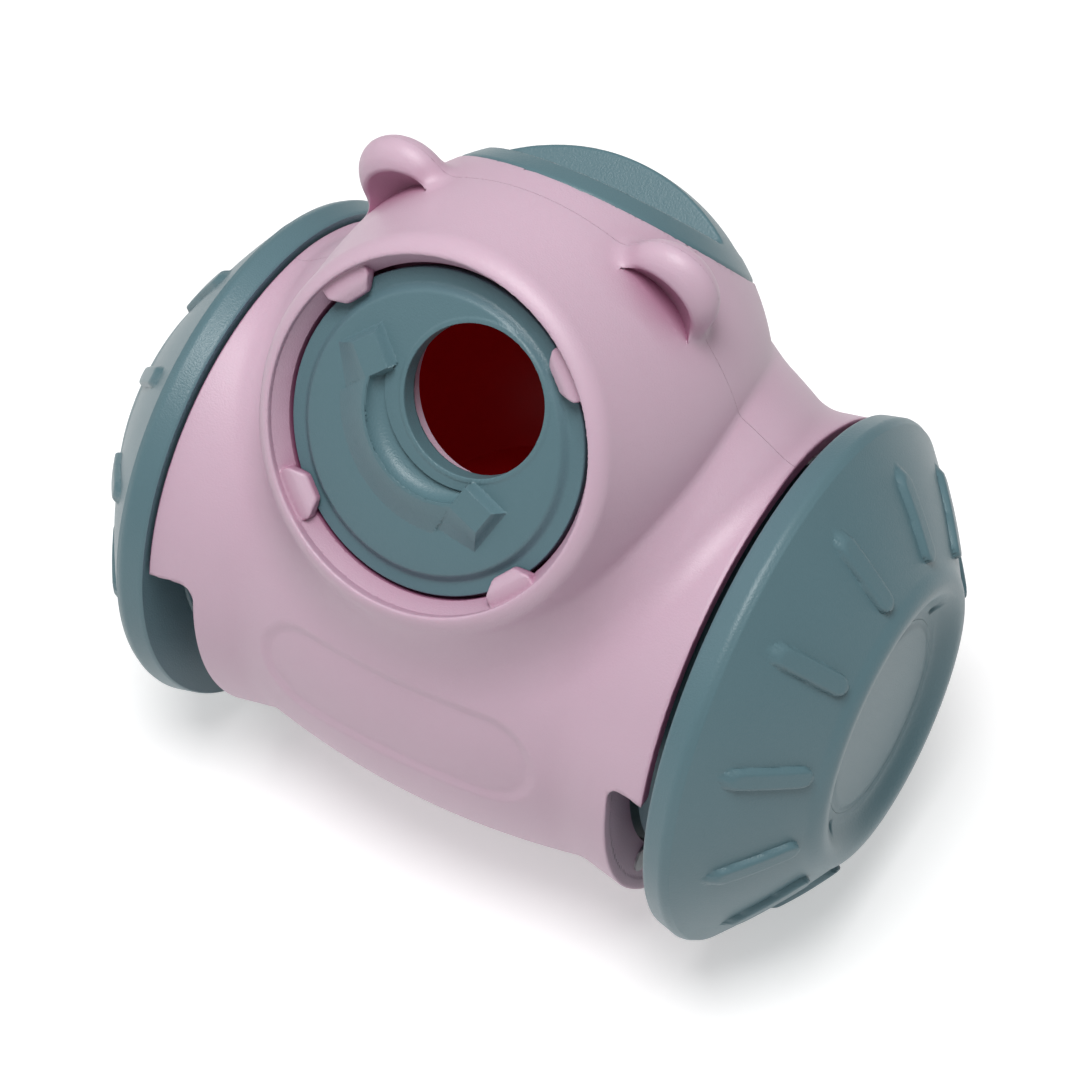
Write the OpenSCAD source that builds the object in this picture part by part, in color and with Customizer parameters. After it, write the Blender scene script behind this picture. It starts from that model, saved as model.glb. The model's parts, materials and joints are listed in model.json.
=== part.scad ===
// Treat dispensing roller: a weighted two-wheeled body with a ball-shaped food chamber.
// The origin lies on the floor under the middle of the axle. +X runs along the axle,
// -Y is the side of the treat outlet, and +Z is up.

/* [Body barrel] */
// Half of the body's width, from the middle to the flange's edge
body_half = 45.2; // [44:0.2:48]
// Clearance between the belly and the floor
belly_clear = 1.8; // [1.2:0.1:3]
// Depth of the waist beside each flange, below the belly
valley_depth = 3.2; // [2:0.1:4]
// Distance of the waist from the flange
flare_l = 9; // [7:0.2:11]
// How far the flange stays inside the wheel's outer radius
flange_drop = 2.1; // [1.6:0.1:3]
// Width of the flange
flange_w = 5.6; // [5:0.1:7]
// Wall thickness of the shells
wall = 2.2; // [1.8:0.1:2.6]
// How far the plane where the shells meet lies behind the axle
seam_y = 3.5; // [0:0.5:6]
// Height of the flange's cut-back above the axle
notch_z = 8.5; // [5:0.5:14]
// Rounding of the flange's cut-back
notch_round = 3; // [1:0.5:4]

/* [Ball] */
// Radius of the ball
ball_r = 40.6; // [39.5:0.1:41.5]
// Height of the ball's top above the axle
ball_top = 79.1; // [76:0.1:81]
// Radius of the swelling that blends the ball into the barrel
saddle_r = 39.4; // [38.5:0.1:40.5]
// How far that swelling would reach past the flange if it weren't cut inside the barrel
saddle_over = 2.8; // [1:0.1:5]
// How far the swelling's middle lies below the flange's top
saddle_drop = 24.4; // [23:0.1:26]
// Angle of each ear from upright
ear_angle = 37; // [30:1:45]
// Radius of an ear
ear_r = 8.2; // [6:0.1:10]
// Thickness of an ear
ear_t = 5.6; // [4:0.1:7]
// How far an ear stands out of the ball
ear_proud = 7; // [5:0.1:8]

/* [Belly panel] */
// Length of the shallow panel on the front
panel_l = 52; // [40:1:56]
// Height of the panel
panel_h = 18.6; // [12:0.2:20]
// Depth of the panel
panel_depth = 0.6; // [0.3:0.1:1]
// Height of the panel's middle above the axle
panel_z = 3.4; // [0:0.2:6]

/* [Snout and outlet dial] */
// Upward tilt of the snout
snout_tilt = 29.6; // [25:0.1:34]
// How far the dial's face stands out of the ball where the lip meets it
snout_rise = 1.74; // [1.2:0.02:2.4]
// Radius of the dial
dial_r = 25.35; // [24:0.05:26]
// Thickness of the dial's edge
dial_t = 2.6; // [2:0.1:3.2]
// Height of the dial's raised middle
dial_rise = 1.1; // [0.6:0.1:1.6]
// Width of the dial's flat edge
dial_edge_w = 3.2; // [2.8:0.1:3.4]
// Radius of the outlet hole
outlet_r = 11.7; // [8:0.1:11.8]
// Distance of the hole from the dial's middle
outlet_offset = 9.7; // [8:0.1:9.8]
// Direction of the hole at rest, from sideways towards up
outlet_angle = 54; // [40:1:70]
// Gap around and behind the dial
dial_gap = 0.6; // [0.4:0.1:0.8]
// Gap between the dial and the wall behind it
dial_seat_gap = 0.3; // [0.2:0.05:0.5]
// Thickness of the wall behind the dial
bulkhead_t = 2.2; // [2:0.1:2.8]
// Width of the lip around the dial
lip_w = 3.2; // [2.6:0.1:3.6]
// Height of the lip above the dial's face
lip_h = 2.7; // [2.4:0.1:3.4]
// Radius of the fillet between the snout and the ball
snout_fillet = 9; // [6:0.5:11]
// Width of a retaining tab
tab_w = 8.6; // [6:0.2:10]
// How far a tab reaches over the dial
tab_over = 1.5; // [1:0.1:2]
// Thickness of a tab
tab_t = 1.6; // [1.2:0.1:2]
// Direction of the tabs from sideways
tab_angle = 42; // [38:1:50]
// Height of the dial's grip
grip_h = 2; // [1.4:0.1:2.4]
// Width of the dial's grip
grip_w = 5; // [4:0.1:6]

/* [Fill lid] */
// Backward tilt of the lid's axis above the level
lid_tilt = 38.7; // [35:0.1:41]
// Radius of the lid
lid_r = 25.4; // [24:0.1:26.5]
// Radius inside the lid's bevelled band
lid_band_r = 21.4; // [20:0.1:22.4]
// Height of the lid's side
lid_side_h = 3.8; // [3.2:0.1:4.2]
// Thickness of the lid's floor
lid_floor_t = 2.4; // [2:0.1:3]
// Width of the lid's grip bar
bar_w = 6.8; // [5:0.2:9]
// Gap around the lid
lid_gap = 0.3; // [0.3:0.05:0.5]
// Thickness of the ledge under the lid
ledge_t = 2.5; // [2:0.1:3]
// Length of the lid's plug below its side
plug_l = 6.4; // [6:0.1:7]
// Outer radius of the plug
plug_r = 21; // [19.5:0.1:21.4]
// Width of a locking lug
lug_w = 8; // [6:0.5:10]
// How far a lug stands out of the plug
lug_proud = 2.4; // [1.6:0.1:2.6]

/* [Food chamber] */
// Gap between the ball and the chamber
chamber_gap = 0.8; // [0.5:0.1:1.2]
// Wall thickness of the chamber
chamber_wall = 1.5; // [1.2:0.1:2]

/* [Wheels] */
// Outer radius of a wheel
wheel_r = 46; // [45.6:0.1:48]
// How much smaller the rim's inner edge is
rim_bevel = 1; // [0.5:0.1:1.4]
// Gap between the flange and the rim
fender_gap = 2.8; // [2:0.1:3.4]
// Width of the rim
rim_w = 4.4; // [3.6:0.1:5]
// Depth of the face, from the rim to the hub's ring
cone_depth = 13.6; // [13:0.1:15]
// Bulge of the face
cone_bulge = 0.9; // [0:0.1:1.4]
// Foot radius of the hub's ring
hub_ring_r = 25.4; // [24.5:0.1:26.5]
// Crest radius of the hub's ring
hub_crest_r = 21.2; // [20:0.1:22.5]
// Height of the hub's ring
hub_crest_h = 1.7; // [1.2:0.1:2.2]
// Radius of the hub cap
cap_r = 17; // [16:0.1:18]
// Wall thickness of a wheel
wheel_wall = 2; // [1.6:0.1:2.4]
// Length of the skirt that runs inside the flange
skirt_l = 7.5; // [7:0.1:8]
// Outer radius of the hub tube
hub_tube_r = 8; // [7:0.1:9]
// Number of ribs on the face
rib_count = 12; // [6:1:14]
// Width of a rib
rib_w = 4; // [2:0.1:5]
// Height of a rib
rib_h = 1.2; // [0.6:0.1:1.6]
// Direction of the first rib, from the front towards up
rib_phase = -4; // [-20:1:20]
// Number of webs inside a wheel
web_count = 6; // [4:1:8]

/* [Axle] */
// Radius of the axle
axle_r = 3; // [2.6:0.1:3.2]
// Radial running gap between the axle and a bush
axle_fit = 0.05; // [0.02:0.01:0.1]
// Wall thickness of a bush
bush_wall = 1.95; // [1.5:0.05:2.4]
// Thickness of an end plate
plate_t = 2.5; // [2:0.1:3]

/* [Counterweight] */
// Height of the counterweight
weight_h = 14.7; // [10:0.1:16]
// Gap between the counterweight's cover and an end plate
cover_gap = 4.4; // [3.5:0.1:8]
// Width of the counterweight from front to back
weight_w = 58; // [50:1:60]
// How far the counterweight's middle lies behind the axle
weight_shift = -0.3; // [-2:0.1:2]
// Thickness of its cover plate
cover_t = 2; // [1.6:0.1:3]

/* [Hidden] */
$fn = 96;

// Colours of the mouldings and the metal
pink = "#d4b2c4";
grey = "#5f777e";
red = "#a3101c";
steel = "#9a9da0";
silicone = "#c9cccd";

// One overrun for every cut
over = 1;

// Clearance between touching pieces that aren't fused
slip = 0.1;

// Places along the axle, from the middle outwards
flange_x = body_half - flange_w;
valley_x = flange_x - flare_l;
plate_back = 1.1;
plate_out = flange_x - plate_back;
plate_in = plate_out - plate_t;
rim_x = body_half + fender_gap;
crease_x = rim_x + rim_w;
ring_x = crease_x + cone_depth;
face_x = ring_x + hub_crest_h;
skirt_x = rim_x - skirt_l;
cap_depth = 3.4;
pocket_depth = 7.7;
cap_x = face_x - cap_depth;
pocket_x = face_x - pocket_depth;
end_play = 0.3;
axle_end = pocket_x + end_play;

// Radii of the barrel, each from the wheel's
belly_r = wheel_r - belly_clear;
valley_r = belly_r - valley_depth;
flange_r = wheel_r - flange_drop;

// The ball's middle, and the swelling between it and the barrel
ball_rise = ball_top - ball_r;
saddle_half = body_half + saddle_over;
saddle_rise = flange_r - saddle_drop;

// Distance of a circle on the ball from the ball's middle
function ball_depth(r) = sqrt(pow(ball_r, 2) - pow(r, 2));

// Shell ledge that an end plate is screwed to
ledge_w = 2.6;
shell_ledge_t = 2;
shell_ledge_drop = 0.4;
skirt_gap = 0.6;
skirt_r = flange_r - wall - skirt_gap;
ledge_r = valley_r - wall - ledge_w;
plate_gap = 0.4;

// Points along half of the barrel: six over the belly, four over the flare
belly_steps = 6;
flare_steps = 4;
half_stations = concat(
    [for (i = [0 : belly_steps]) valley_x * i / belly_steps],
    [for (i = [1 : flare_steps]) valley_x + (flange_x - valley_x) * i / flare_steps]);

function barrel_r(x) =
    x <= valley_x ? belly_r - (belly_r - valley_r) * pow(x / valley_x, 2)
    : x >= flange_x ? flange_r
    : valley_r + (flange_r - valley_r) * (1 - cos(180 * (x - valley_x) / (flange_x - valley_x))) / 2;

plate_r = barrel_r(plate_in) - wall - plate_gap;

// Depth of the hollow in an ear's front, as a share of its thickness
ear_dish_share = 0.25;

// Places along the snout, from the ball's middle outwards
recess_r = dial_r + dial_gap;
lip_r = recess_r + lip_w;
dial_face = ball_depth(lip_r) + snout_rise;
dial_base = dial_face - dial_t;
bulkhead_top = dial_base - dial_seat_gap;
bulkhead_base = bulkhead_top - bulkhead_t;
lip_top = dial_face + lip_h;
lip_bevel = 0.7;
tab_lift = 0.4;
fillet_far = ball_r + snout_fillet;
fillet_z = sqrt(pow(fillet_far, 2) - pow(lip_r + snout_fillet, 2));
fillet_foot = (lip_r + snout_fillet) * ball_r / fillet_far;
throat_gap = 0.6;
window_w = 1;
seal_w = 1.6;
seal_h = 1;
seal_r = dial_r - seal_w;
seal_sink = 0.8;
hole_lip_w = 1.2;
hole_lip_h = 0.5;

// The dial's grip is an arc about the outlet hole
grip_gap = 7.2;
grip_r = outlet_r + grip_gap;
grip_half_angle = 56;
grip_tip_l = 6;
grip_tip_turn = 32;
grip_tip_share = 0.62;

// Places along the lid's axis, from the ball's middle outwards
lid_open_r = lid_r + lid_gap;
lid_edge = ball_depth(lid_r);
lid_base = lid_edge - lid_side_h;
gasket_proud = 0.4;
gasket_h = 1.4;
gasket_w = 2.4;
gasket_inset = 0.6;
ledge_top = lid_base - gasket_proud;
ledge_base = ledge_top - ledge_t;
ledge_hole_r = plug_r + lid_gap + slip;
plug_base = lid_base - plug_l;
plug_wall = 1.8;
lug_t = 2.4;
lug_drop = 0.4;
lug_count = 3;
lug_play = 1;
gasket_r = lid_r - gasket_inset;

// Food chamber. Its floor clears the bosses that hold the axle
boss_wall = 3;
floor_clear = 0.5;
floor_z = axle_r + boss_wall + floor_clear;
chamber_side = plate_in - chamber_gap;

// Axle hardware
bush_in = axle_r + axle_fit;
bush_out = bush_in + bush_wall;
washer_t = 1;
washer_over = 1.2;
washer_r = bush_out + washer_over;
screw_r = 1.5;
screw_head_r = 2.75;
screw_head_h = 2;
screw_l = 10;
boss_l = 8;
spacer_w = 3.4;
cap_seat_w = 1.5;
cap_pocket_r = cap_r - cap_seat_w;
cap_skirt_wall = 1.5;
cap_skirt_l = 2.4;
cap_dish = 0.8;
cap_dish_share = 0.8;
cap_drop = 0.8;
cap_slip = 0.2;
groove_w = 0.7;
rib_sink = 1;
rib_start = 2.8;
rib_end = 5;
web_t = 1.6;

// Small screws in the plates and the cover
small_r = 1.2;
small_head_r = 2.4;
small_head_h = 1.4;
small_l = 8;
small_fit = 0.05;
post_r = 2.9;
post_l = 10;
post_margin = 0.4;
post_angle = 34;
post_ring_r = plate_r - post_r - post_margin;

// Counterweight posts stand at the four corners of its cover
cover_margin = 4.8;
cover_half = plate_in - cover_gap;
cover_post_x = cover_half - cover_margin;
weight_half = cover_post_x - cover_margin;
cover_step = 3;
cover_y = weight_w / 2 - cover_step;
cover_post_inset = 6;
cover_post_y = cover_y - cover_post_inset;
weight_gap = 0.3;
weight_top = belly_r - wall - weight_gap - weight_h;

// Moves a shape drawn about the axle's middle to its height
module at_axle() translate([0, 0, wheel_r]) children();

// Moves a shape drawn about the ball's middle to its height
module at_ball() translate([0, 0, wheel_r + ball_rise]) children();

// The snout's own frame: +Z out of the dial, +X right, +Y up
module at_snout() at_ball() rotate([90 - snout_tilt, 0, 0]) children();

// The lid's own frame: +Z out of the lid, +X right
module at_lid() at_ball() rotate([lid_tilt - 90, 0, 0]) children();

// Lays a shape turned about Z along the axle
module along_x() at_axle() rotate([0, 90, 0]) children();

// Draws a shape of the right side, and its mirror image on the left
module both_sides() {
    children();
    mirror([1, 0, 0]) children();
}

// A flat ring
module ring(outer, inner, h) {
    difference() {
        cylinder(r = outer, h = h);
        translate([0, 0, -over]) cylinder(r = inner, h = h + 2 * over);
    }
}

// The barrel as a solid of revolution about the axle
module barrel(inset, reach) {
    stations = concat(half_stations, [reach]);
    last = len(stations) - 1;
    along_x() rotate_extrude() polygon(concat(
        [[0, -reach]],
        [for (i = [last : -1 : 1]) [barrel_r(stations[i]) - inset, -stations[i]]],
        [for (i = [0 : last]) [barrel_r(stations[i]) - inset, stations[i]]],
        [[0, reach]]));
}

// The swelling that blends the ball into the barrel, half an ellipse turned about X
saddle_steps = 12;
module saddle(inset) {
    a = saddle_half - inset;
    r = saddle_r - inset;
    end_angle = acos(valley_x / a) / 2;
    span = 180 - 2 * end_angle;
    translate([0, 0, wheel_r + saddle_rise]) rotate([0, 90, 0]) rotate_extrude() polygon(concat(
        [[0, -a * cos(end_angle)]],
        [for (i = [0 : saddle_steps]) let (t = end_angle + span * i / saddle_steps)
            [r * sin(t), -a * cos(t)]],
        [[0, a * cos(end_angle)]]));
}

// The whole body's outer form, or its hollow when inset
module body_form(inset, reach) {
    barrel(inset, reach);
    at_ball() sphere(r = ball_r - inset);
    saddle(inset);
}

// Snout: a short tube with a hollow fillet that runs into the ball
module snout_form() {
    at_snout() {
        rotate_extrude() difference() {
            square([fillet_foot, fillet_z]);
            translate([lip_r + snout_fillet, fillet_z]) circle(r = snout_fillet);
        }
        rotate_extrude() polygon([[0, 0], [lip_r, 0], [lip_r, lip_top - lip_bevel],
            [lip_r - lip_bevel, lip_top], [recess_r + lip_bevel, lip_top], [0, lip_top]]);
    }
}

// One ear with a hollow front. Its back lies in the plane where the shells meet
module ear() {
    dish_r = 2 * ear_r;
    dish_depth = ear_t * ear_dish_share;
    at_ball() rotate([0, ear_angle, 0])
    translate([0, seam_y, ball_r + ear_proud - ear_r]) rotate([90, 0, 0]) difference() {
        translate([0, 0, -over]) cylinder(r = ear_r, h = ear_t + over);
        translate([0, 0, ear_t + dish_r - dish_depth]) sphere(r = dish_r);
    }
}

// Outline of the flange's cut-back, drawn in the plane of X and height
module notch_outline() {
    reach = body_half - flange_x + over;
    low = belly_r + over;
    difference() {
        translate([flange_x, -low]) square([reach, low + notch_z]);
        translate([flange_x, notch_z - notch_round]) difference() {
            square([notch_round, notch_round]);
            translate([notch_round, 0]) circle(r = notch_round);
        }
    }
}

module notch() {
    at_axle() rotate([90, 0, 0]) linear_extrude(height = 2 * (belly_r + over), center = true)
        notch_outline();
}

// Shallow stadium-shaped panel on the front of the belly
module panel_cut() {
    straight = (panel_l - panel_h) / 2;
    difference() {
        at_axle() translate([0, 0, panel_z]) rotate([90, 0, 0])
        linear_extrude(height = belly_r + over) {
            square([2 * straight, panel_h], center = true);
            translate([straight, 0]) circle(d = panel_h);
            translate([-straight, 0]) circle(d = panel_h);
        }
        barrel(panel_depth, body_half);
    }
}

// Places of the four screws in one end plate, in the plate's plane
module plate_screw_places() {
    for (a = [post_angle, 180 - post_angle, 180 + post_angle, -post_angle])
        along_x() rotate([0, 0, a]) rotate([0, 0, 90]) translate([post_ring_r, 0, plate_in])
            children();
}

// Places of the four screws in the counterweight's cover
module cover_screw_places() {
    for (sx = [-1, 1], sy = [-1, 1])
        at_axle() translate([sx * cover_post_x, sy * cover_post_y, -weight_top]) children();
}

// Ledges and posts inside the shells
module shell_inside() {
    both_sides() difference() {
        intersection() {
            barrel(wall / 2, body_half);
            along_x() translate([0, 0, plate_in - shell_ledge_drop - shell_ledge_t])
                cylinder(r = flange_r, h = shell_ledge_t);
        }
        along_x() cylinder(r = ledge_r, h = plate_in + over);
        at_ball() sphere(r = ball_r - wall);
    }
    both_sides() intersection() {
        barrel(wall / 2, body_half);
        plate_screw_places() translate([0, 0, -post_l]) cylinder(r = post_r, h = post_l);
    }
    intersection() {
        barrel(wall / 2, body_half);
        cover_screw_places() translate([0, 0, -weight_top]) cylinder(r = post_r, h = weight_top);
    }
    intersection() {
        at_ball() sphere(r = ball_r - wall / 2);
        union() {
            at_snout() translate([0, 0, bulkhead_base])
                cylinder(r = recess_r + 2 * lip_w, h = bulkhead_t);
            at_lid() translate([0, 0, ledge_base])
                cylinder(r = lid_open_r + 2 * lip_w, h = ledge_t);
        }
    }
}

// What is cut out of the shells, apart from their hollow
module shell_cuts() {
    at_snout() {
        translate([0, 0, bulkhead_top]) cylinder(r = recess_r, h = lip_top);
        translate([0, 0, lip_top - lip_bevel])
            cylinder(r1 = recess_r, r2 = recess_r + lip_bevel + over, h = lip_bevel + over);
        rotate([0, 0, outlet_angle]) translate([outlet_offset, 0, 0])
            cylinder(r = outlet_r + throat_gap, h = lip_top);
        translate([0, 0, bulkhead_top - seal_sink])
            ring(seal_r + seal_w / 2 + slip, seal_r - seal_w / 2 - slip, seal_h);
        for (a = [tab_angle, 180 - tab_angle, 180 + tab_angle, -tab_angle])
            rotate([0, 0, a]) translate([recess_r - window_w, -tab_w / 2, bulkhead_base - over])
                cube([window_w, tab_w, bulkhead_t + 2 * over]);
    }
    at_lid() {
        translate([0, 0, ledge_top]) cylinder(r = lid_open_r, h = ball_r);
        translate([0, 0, ledge_base - over]) cylinder(r = ledge_hole_r, h = ledge_t + 2 * over);
        for (i = [0 : lug_count - 1])
            rotate([0, 0, 360 * i / lug_count])
            translate([0, -lug_w / 2 - lug_play, ledge_base - over])
                cube([plug_r + lug_proud + lug_play, lug_w + 2 * lug_play, ledge_t + 2 * over]);
    }
    both_sides() notch();
    both_sides() plate_screw_places() translate([0, 0, -small_l - over])
        cylinder(r = small_r + small_fit, h = small_l + 2 * over);
    cover_screw_places() translate([0, 0, -small_l - over])
        cylinder(r = small_r + small_fit, h = small_l + 2 * over);
    panel_cut();
}

// The four tabs that hold the dial
module tabs() {
    at_snout() intersection() {
        translate([0, 0, dial_face + tab_lift]) ring(recess_r + lip_w / 2, dial_r - tab_over, tab_t);
        for (a = [tab_angle, 180 - tab_angle, 180 + tab_angle, -tab_angle])
            rotate([0, 0, a]) translate([0, -tab_w / 2, 0]) cube([lip_r, tab_w, lip_top]);
    }
}

// The whole body, with the ears where they are asked for
module whole_shell(with_ears) {
    difference() {
        union() {
            difference() {
                union() {
                    body_form(0, body_half);
                    snout_form();
                    if (with_ears) both_sides() ear();
                }
                body_form(wall, body_half + over);
            }
            shell_inside();
        }
        shell_cuts();
    }
    tabs();
}

// Everything in front of the plane where the shells meet
module front_half() {
    reach = 2 * (body_half + belly_r);
    intersection() {
        children();
        translate([-reach, seam_y - reach, -reach]) cube([2 * reach, reach, 3 * reach]);
    }
}

// Everything behind that plane
module rear_half() {
    reach = 2 * (body_half + belly_r);
    intersection() {
        children();
        translate([-reach, seam_y, -reach]) cube([2 * reach, reach, 3 * reach]);
    }
}

module front_shell() {
    color(pink) front_half() whole_shell(true);
}

module rear_shell() {
    color(pink) rear_half() whole_shell(false);
}

// Food chamber: a sphere with a flat floor and flat sides, open at the outlet and at the lid
module chamber_form(inset, floor_lift, side_x, outlet_cut, lid_cut) {
    difference() {
        at_ball() sphere(r = ball_r - inset);
        at_axle() translate([-ball_r, -ball_r, -ball_r]) cube([2 * ball_r, 2 * ball_r,
            ball_r + floor_z + floor_lift]);
        at_snout() translate([-ball_r, -ball_r, outlet_cut])
            cube([2 * ball_r, 2 * ball_r, ball_r]);
        at_lid() translate([-ball_r, -ball_r, lid_cut]) cube([2 * ball_r, 2 * ball_r, ball_r]);
        both_sides() at_ball() translate([side_x, -ball_r, -ball_r])
            cube([ball_r, 2 * ball_r, 2 * ball_r]);
    }
}

module whole_hopper() {
    inset = wall + chamber_gap;
    difference() {
        chamber_form(inset, 0, chamber_side, bulkhead_base, ledge_base);
        chamber_form(inset + chamber_wall, chamber_wall, chamber_side - chamber_wall, ball_r, ball_r);
    }
}

module hopper_front() {
    color(red) front_half() whole_hopper();
}

module hopper_rear() {
    color(red) rear_half() whole_hopper();
}

// One straight bar with round ends, lying along X from the origin
module round_bar(l, w, h) {
    linear_extrude(height = h) {
        translate([0, -w / 2]) square([l, w]);
        circle(d = w);
        translate([l, 0]) circle(d = w);
    }
}

// The dial's grip: an arc about the outlet hole with turned-out ends
module dial_grip() {
    h = dial_rise + grip_h;
    translate([outlet_offset, 0, dial_face]) {
        intersection() {
            ring(grip_r + grip_w / 2, grip_r - grip_w / 2, h);
            linear_extrude(height = h) polygon(concat([[0, 0]],
                [for (i = [-2 : 2]) let (a = 180 + grip_half_angle * i / 2)
                    2 * dial_r * [cos(a), sin(a)]]));
        }
        for (s = [-1, 1])
            rotate([0, 0, 180 + s * grip_half_angle]) translate([grip_r, 0, 0])
                rotate([0, 0, s * (90 - grip_tip_turn)]) round_bar(grip_tip_l, grip_w * grip_tip_share, h);
    }
}

module outlet_dial() {
    middle_r = dial_r - dial_edge_w;
    color(grey) at_snout() rotate([0, 0, outlet_angle]) difference() {
        union() {
            translate([0, 0, dial_base]) cylinder(r = dial_r, h = dial_t);
            translate([0, 0, dial_face])
                cylinder(r1 = middle_r, r2 = middle_r - dial_rise, h = dial_rise);
            intersection() {
                union() {
                    dial_grip();
                    translate([outlet_offset, 0, dial_face])
                        cylinder(r = outlet_r + hole_lip_w, h = dial_rise + hole_lip_h);
                }
                translate([0, 0, dial_base]) cylinder(r = middle_r, h = dial_t + lip_top);
            }
        }
        translate([outlet_offset, 0, 0]) cylinder(r = outlet_r, h = 2 * lip_top);
    }
}

module dial_seal() {
    color(silicone) at_snout() translate([0, 0, bulkhead_top - seal_sink])
        ring(seal_r + seal_w / 2, seal_r - seal_w / 2, seal_h);
}

// Lid: flush with the ball, with a grip bar left standing between two finger scoops
module fill_lid() {
    scoop_base = lid_base + lid_floor_t;
    color(grey) at_lid() {
        difference() {
            intersection() {
                sphere(r = ball_r);
                translate([0, 0, lid_base]) cylinder(r = lid_r, h = ball_r);
            }
            difference() {
                translate([0, 0, scoop_base]) cylinder(r = lid_band_r, h = ball_r);
                translate([-lid_r, -bar_w / 2, 0]) cube([2 * lid_r, bar_w, 2 * ball_r]);
            }
            translate([0, 0, lid_base - over]) ring(gasket_r + slip, gasket_r - gasket_w - slip,
                gasket_h - gasket_proud + slip + over);
        }
        translate([0, 0, plug_base]) ring(plug_r, plug_r - plug_wall, plug_l + over);
        difference() {
            for (i = [0 : lug_count - 1])
                rotate([0, 0, 360 * i / lug_count])
                translate([0, -lug_w / 2, ledge_base - lug_drop - lug_t])
                    cube([plug_r + lug_proud, lug_w, lug_t]);
            translate([0, 0, plug_base - over]) cylinder(r = plug_r - plug_wall, h = plug_l + over);
        }
    }
}

module lid_gasket() {
    color(silicone) at_lid() translate([0, 0, ledge_top + slip])
        ring(gasket_r, gasket_r - gasket_w, gasket_h - slip);
}

// Steel axle with a tapped hole in each end
module axle() {
    color(steel) along_x() difference() {
        translate([0, 0, -axle_end]) cylinder(r = axle_r, h = 2 * axle_end);
        translate([0, 0, axle_end - screw_l - over]) cylinder(r = screw_r, h = screw_l + 2 * over);
        translate([0, 0, -axle_end - over]) cylinder(r = screw_r, h = screw_l + 2 * over);
    }
}

// Plate that closes the barrel's end and holds the axle
module end_plate() {
    color(grey) difference() {
        along_x() {
            translate([0, 0, plate_in]) cylinder(r = plate_r, h = plate_t);
            translate([0, 0, plate_in - boss_l]) cylinder(r = axle_r + boss_wall, h = boss_l);
        }
        along_x() cylinder(r = axle_r, h = body_half);
        plate_screw_places() translate([0, 0, -over])
            cylinder(r = small_r + small_fit, h = plate_t + 2 * over);
    }
}

// One small screw, its head on the plane of the origin, its shank below
module small_screw(l) {
    cylinder(r = small_head_r, h = small_head_h);
    translate([0, 0, -l]) cylinder(r = small_r, h = l);
}

module plate_screws() {
    color(steel) plate_screw_places() translate([0, 0, plate_t]) small_screw(small_l);
}

// Steel slug that keeps the ball upright, shaped to the belly
module counterweight() {
    depth = belly_r;
    color(steel) intersection() {
        barrel(wall + weight_gap, body_half);
        at_axle() translate([-weight_half, weight_shift - weight_w / 2, -weight_top - depth])
            cube([2 * weight_half, weight_w, depth]);
    }
}

module weight_cover() {
    color(grey) difference() {
        at_axle() translate([-cover_half, -cover_y, -weight_top])
            cube([2 * cover_half, 2 * cover_y, cover_t]);
        cover_screw_places() translate([0, 0, -over])
            cylinder(r = small_r + small_fit, h = cover_t + 2 * over);
    }
}

module weight_screws() {
    color(steel) cover_screw_places() translate([0, 0, cover_t]) small_screw(small_l);
}

module spacer() {
    color(silicone) along_x() translate([0, 0, plate_out])
        ring(axle_r + spacer_w, axle_r + axle_fit, skirt_x - end_play - plate_out);
}

// Distance along the axle of the wheel's face at a radius
cone_run = wheel_r - hub_ring_r;
cone_steps = 5;
cone_stretch = sqrt(1 + pow(cone_depth / cone_run, 2));
function cone_x(t) = crease_x + cone_depth * t + cone_bulge * sin(180 * t);

// Half section of a wheel's outer form, as radius and distance along the axle
module wheel_section() {
    polygon(concat(
        [[0, skirt_x], [skirt_r, skirt_x], [skirt_r, rim_x], [wheel_r - rim_bevel, rim_x]],
        [for (i = [0 : cone_steps]) let (t = i / cone_steps) [wheel_r - cone_run * t, cone_x(t)]],
        [[hub_crest_r, face_x], [cap_r + cap_slip, face_x - cap_drop], [cap_r + cap_slip, cap_x],
            [cap_pocket_r, cap_x], [cap_pocket_r, pocket_x], [0, pocket_x]]));
}

// Half section of the hollow inside a wheel
module wheel_hollow_section() {
    inner_r = skirt_r - wheel_wall;
    pocket_wall_r = cap_pocket_r + wheel_wall;
    t0 = (wheel_r - inner_r) / cone_run;
    drop = wheel_wall * cone_stretch;
    polygon(concat(
        [[hub_tube_r, skirt_x - over], [inner_r, skirt_x - over]],
        [for (i = [0 : cone_steps]) let (t = t0 + (1 - t0) * i / cone_steps)
            [wheel_r - cone_run * t, cone_x(t) - drop]],
        [[pocket_wall_r, ring_x - drop], [pocket_wall_r, pocket_x - wheel_wall],
            [hub_tube_r, pocket_x - wheel_wall]]));
}

// Ribs on the wheel's face
module wheel_ribs() {
    start_r = hub_ring_r + rib_start + rib_w / 2;
    end_r = wheel_r - rib_end - rib_w / 2;
    start_x = cone_x((wheel_r - start_r) / cone_run);
    slope = atan((start_x - cone_x((wheel_r - end_r) / cone_run)) / (end_r - start_r));
    for (i = [0 : rib_count - 1])
        rotate([0, 0, -90 - rib_phase - 360 * i / rib_count]) translate([start_r, 0, start_x])
            rotate([0, slope, 0]) translate([0, 0, -rib_sink])
                round_bar((end_r - start_r) / cos(slope), rib_w, rib_sink + rib_h);
}

module wheel() {
    color(grey) along_x() difference() {
        union() {
            rotate_extrude() wheel_section();
            wheel_ribs();
        }
        difference() {
            rotate_extrude() wheel_hollow_section();
            for (i = [0 : web_count - 1])
                rotate([0, 0, 360 * i / web_count]) translate([0, -web_t / 2, rim_x])
                    cube([skirt_r, web_t, face_x]);
        }
        cylinder(r = bush_out, h = face_x);
    }
}

module bush() {
    color(silicone) along_x() translate([0, 0, skirt_x]) ring(bush_out, bush_in, pocket_x - skirt_x);
}

module washer() {
    color(steel) along_x() translate([0, 0, axle_end]) ring(washer_r, screw_r + slip, washer_t);
}

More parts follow.
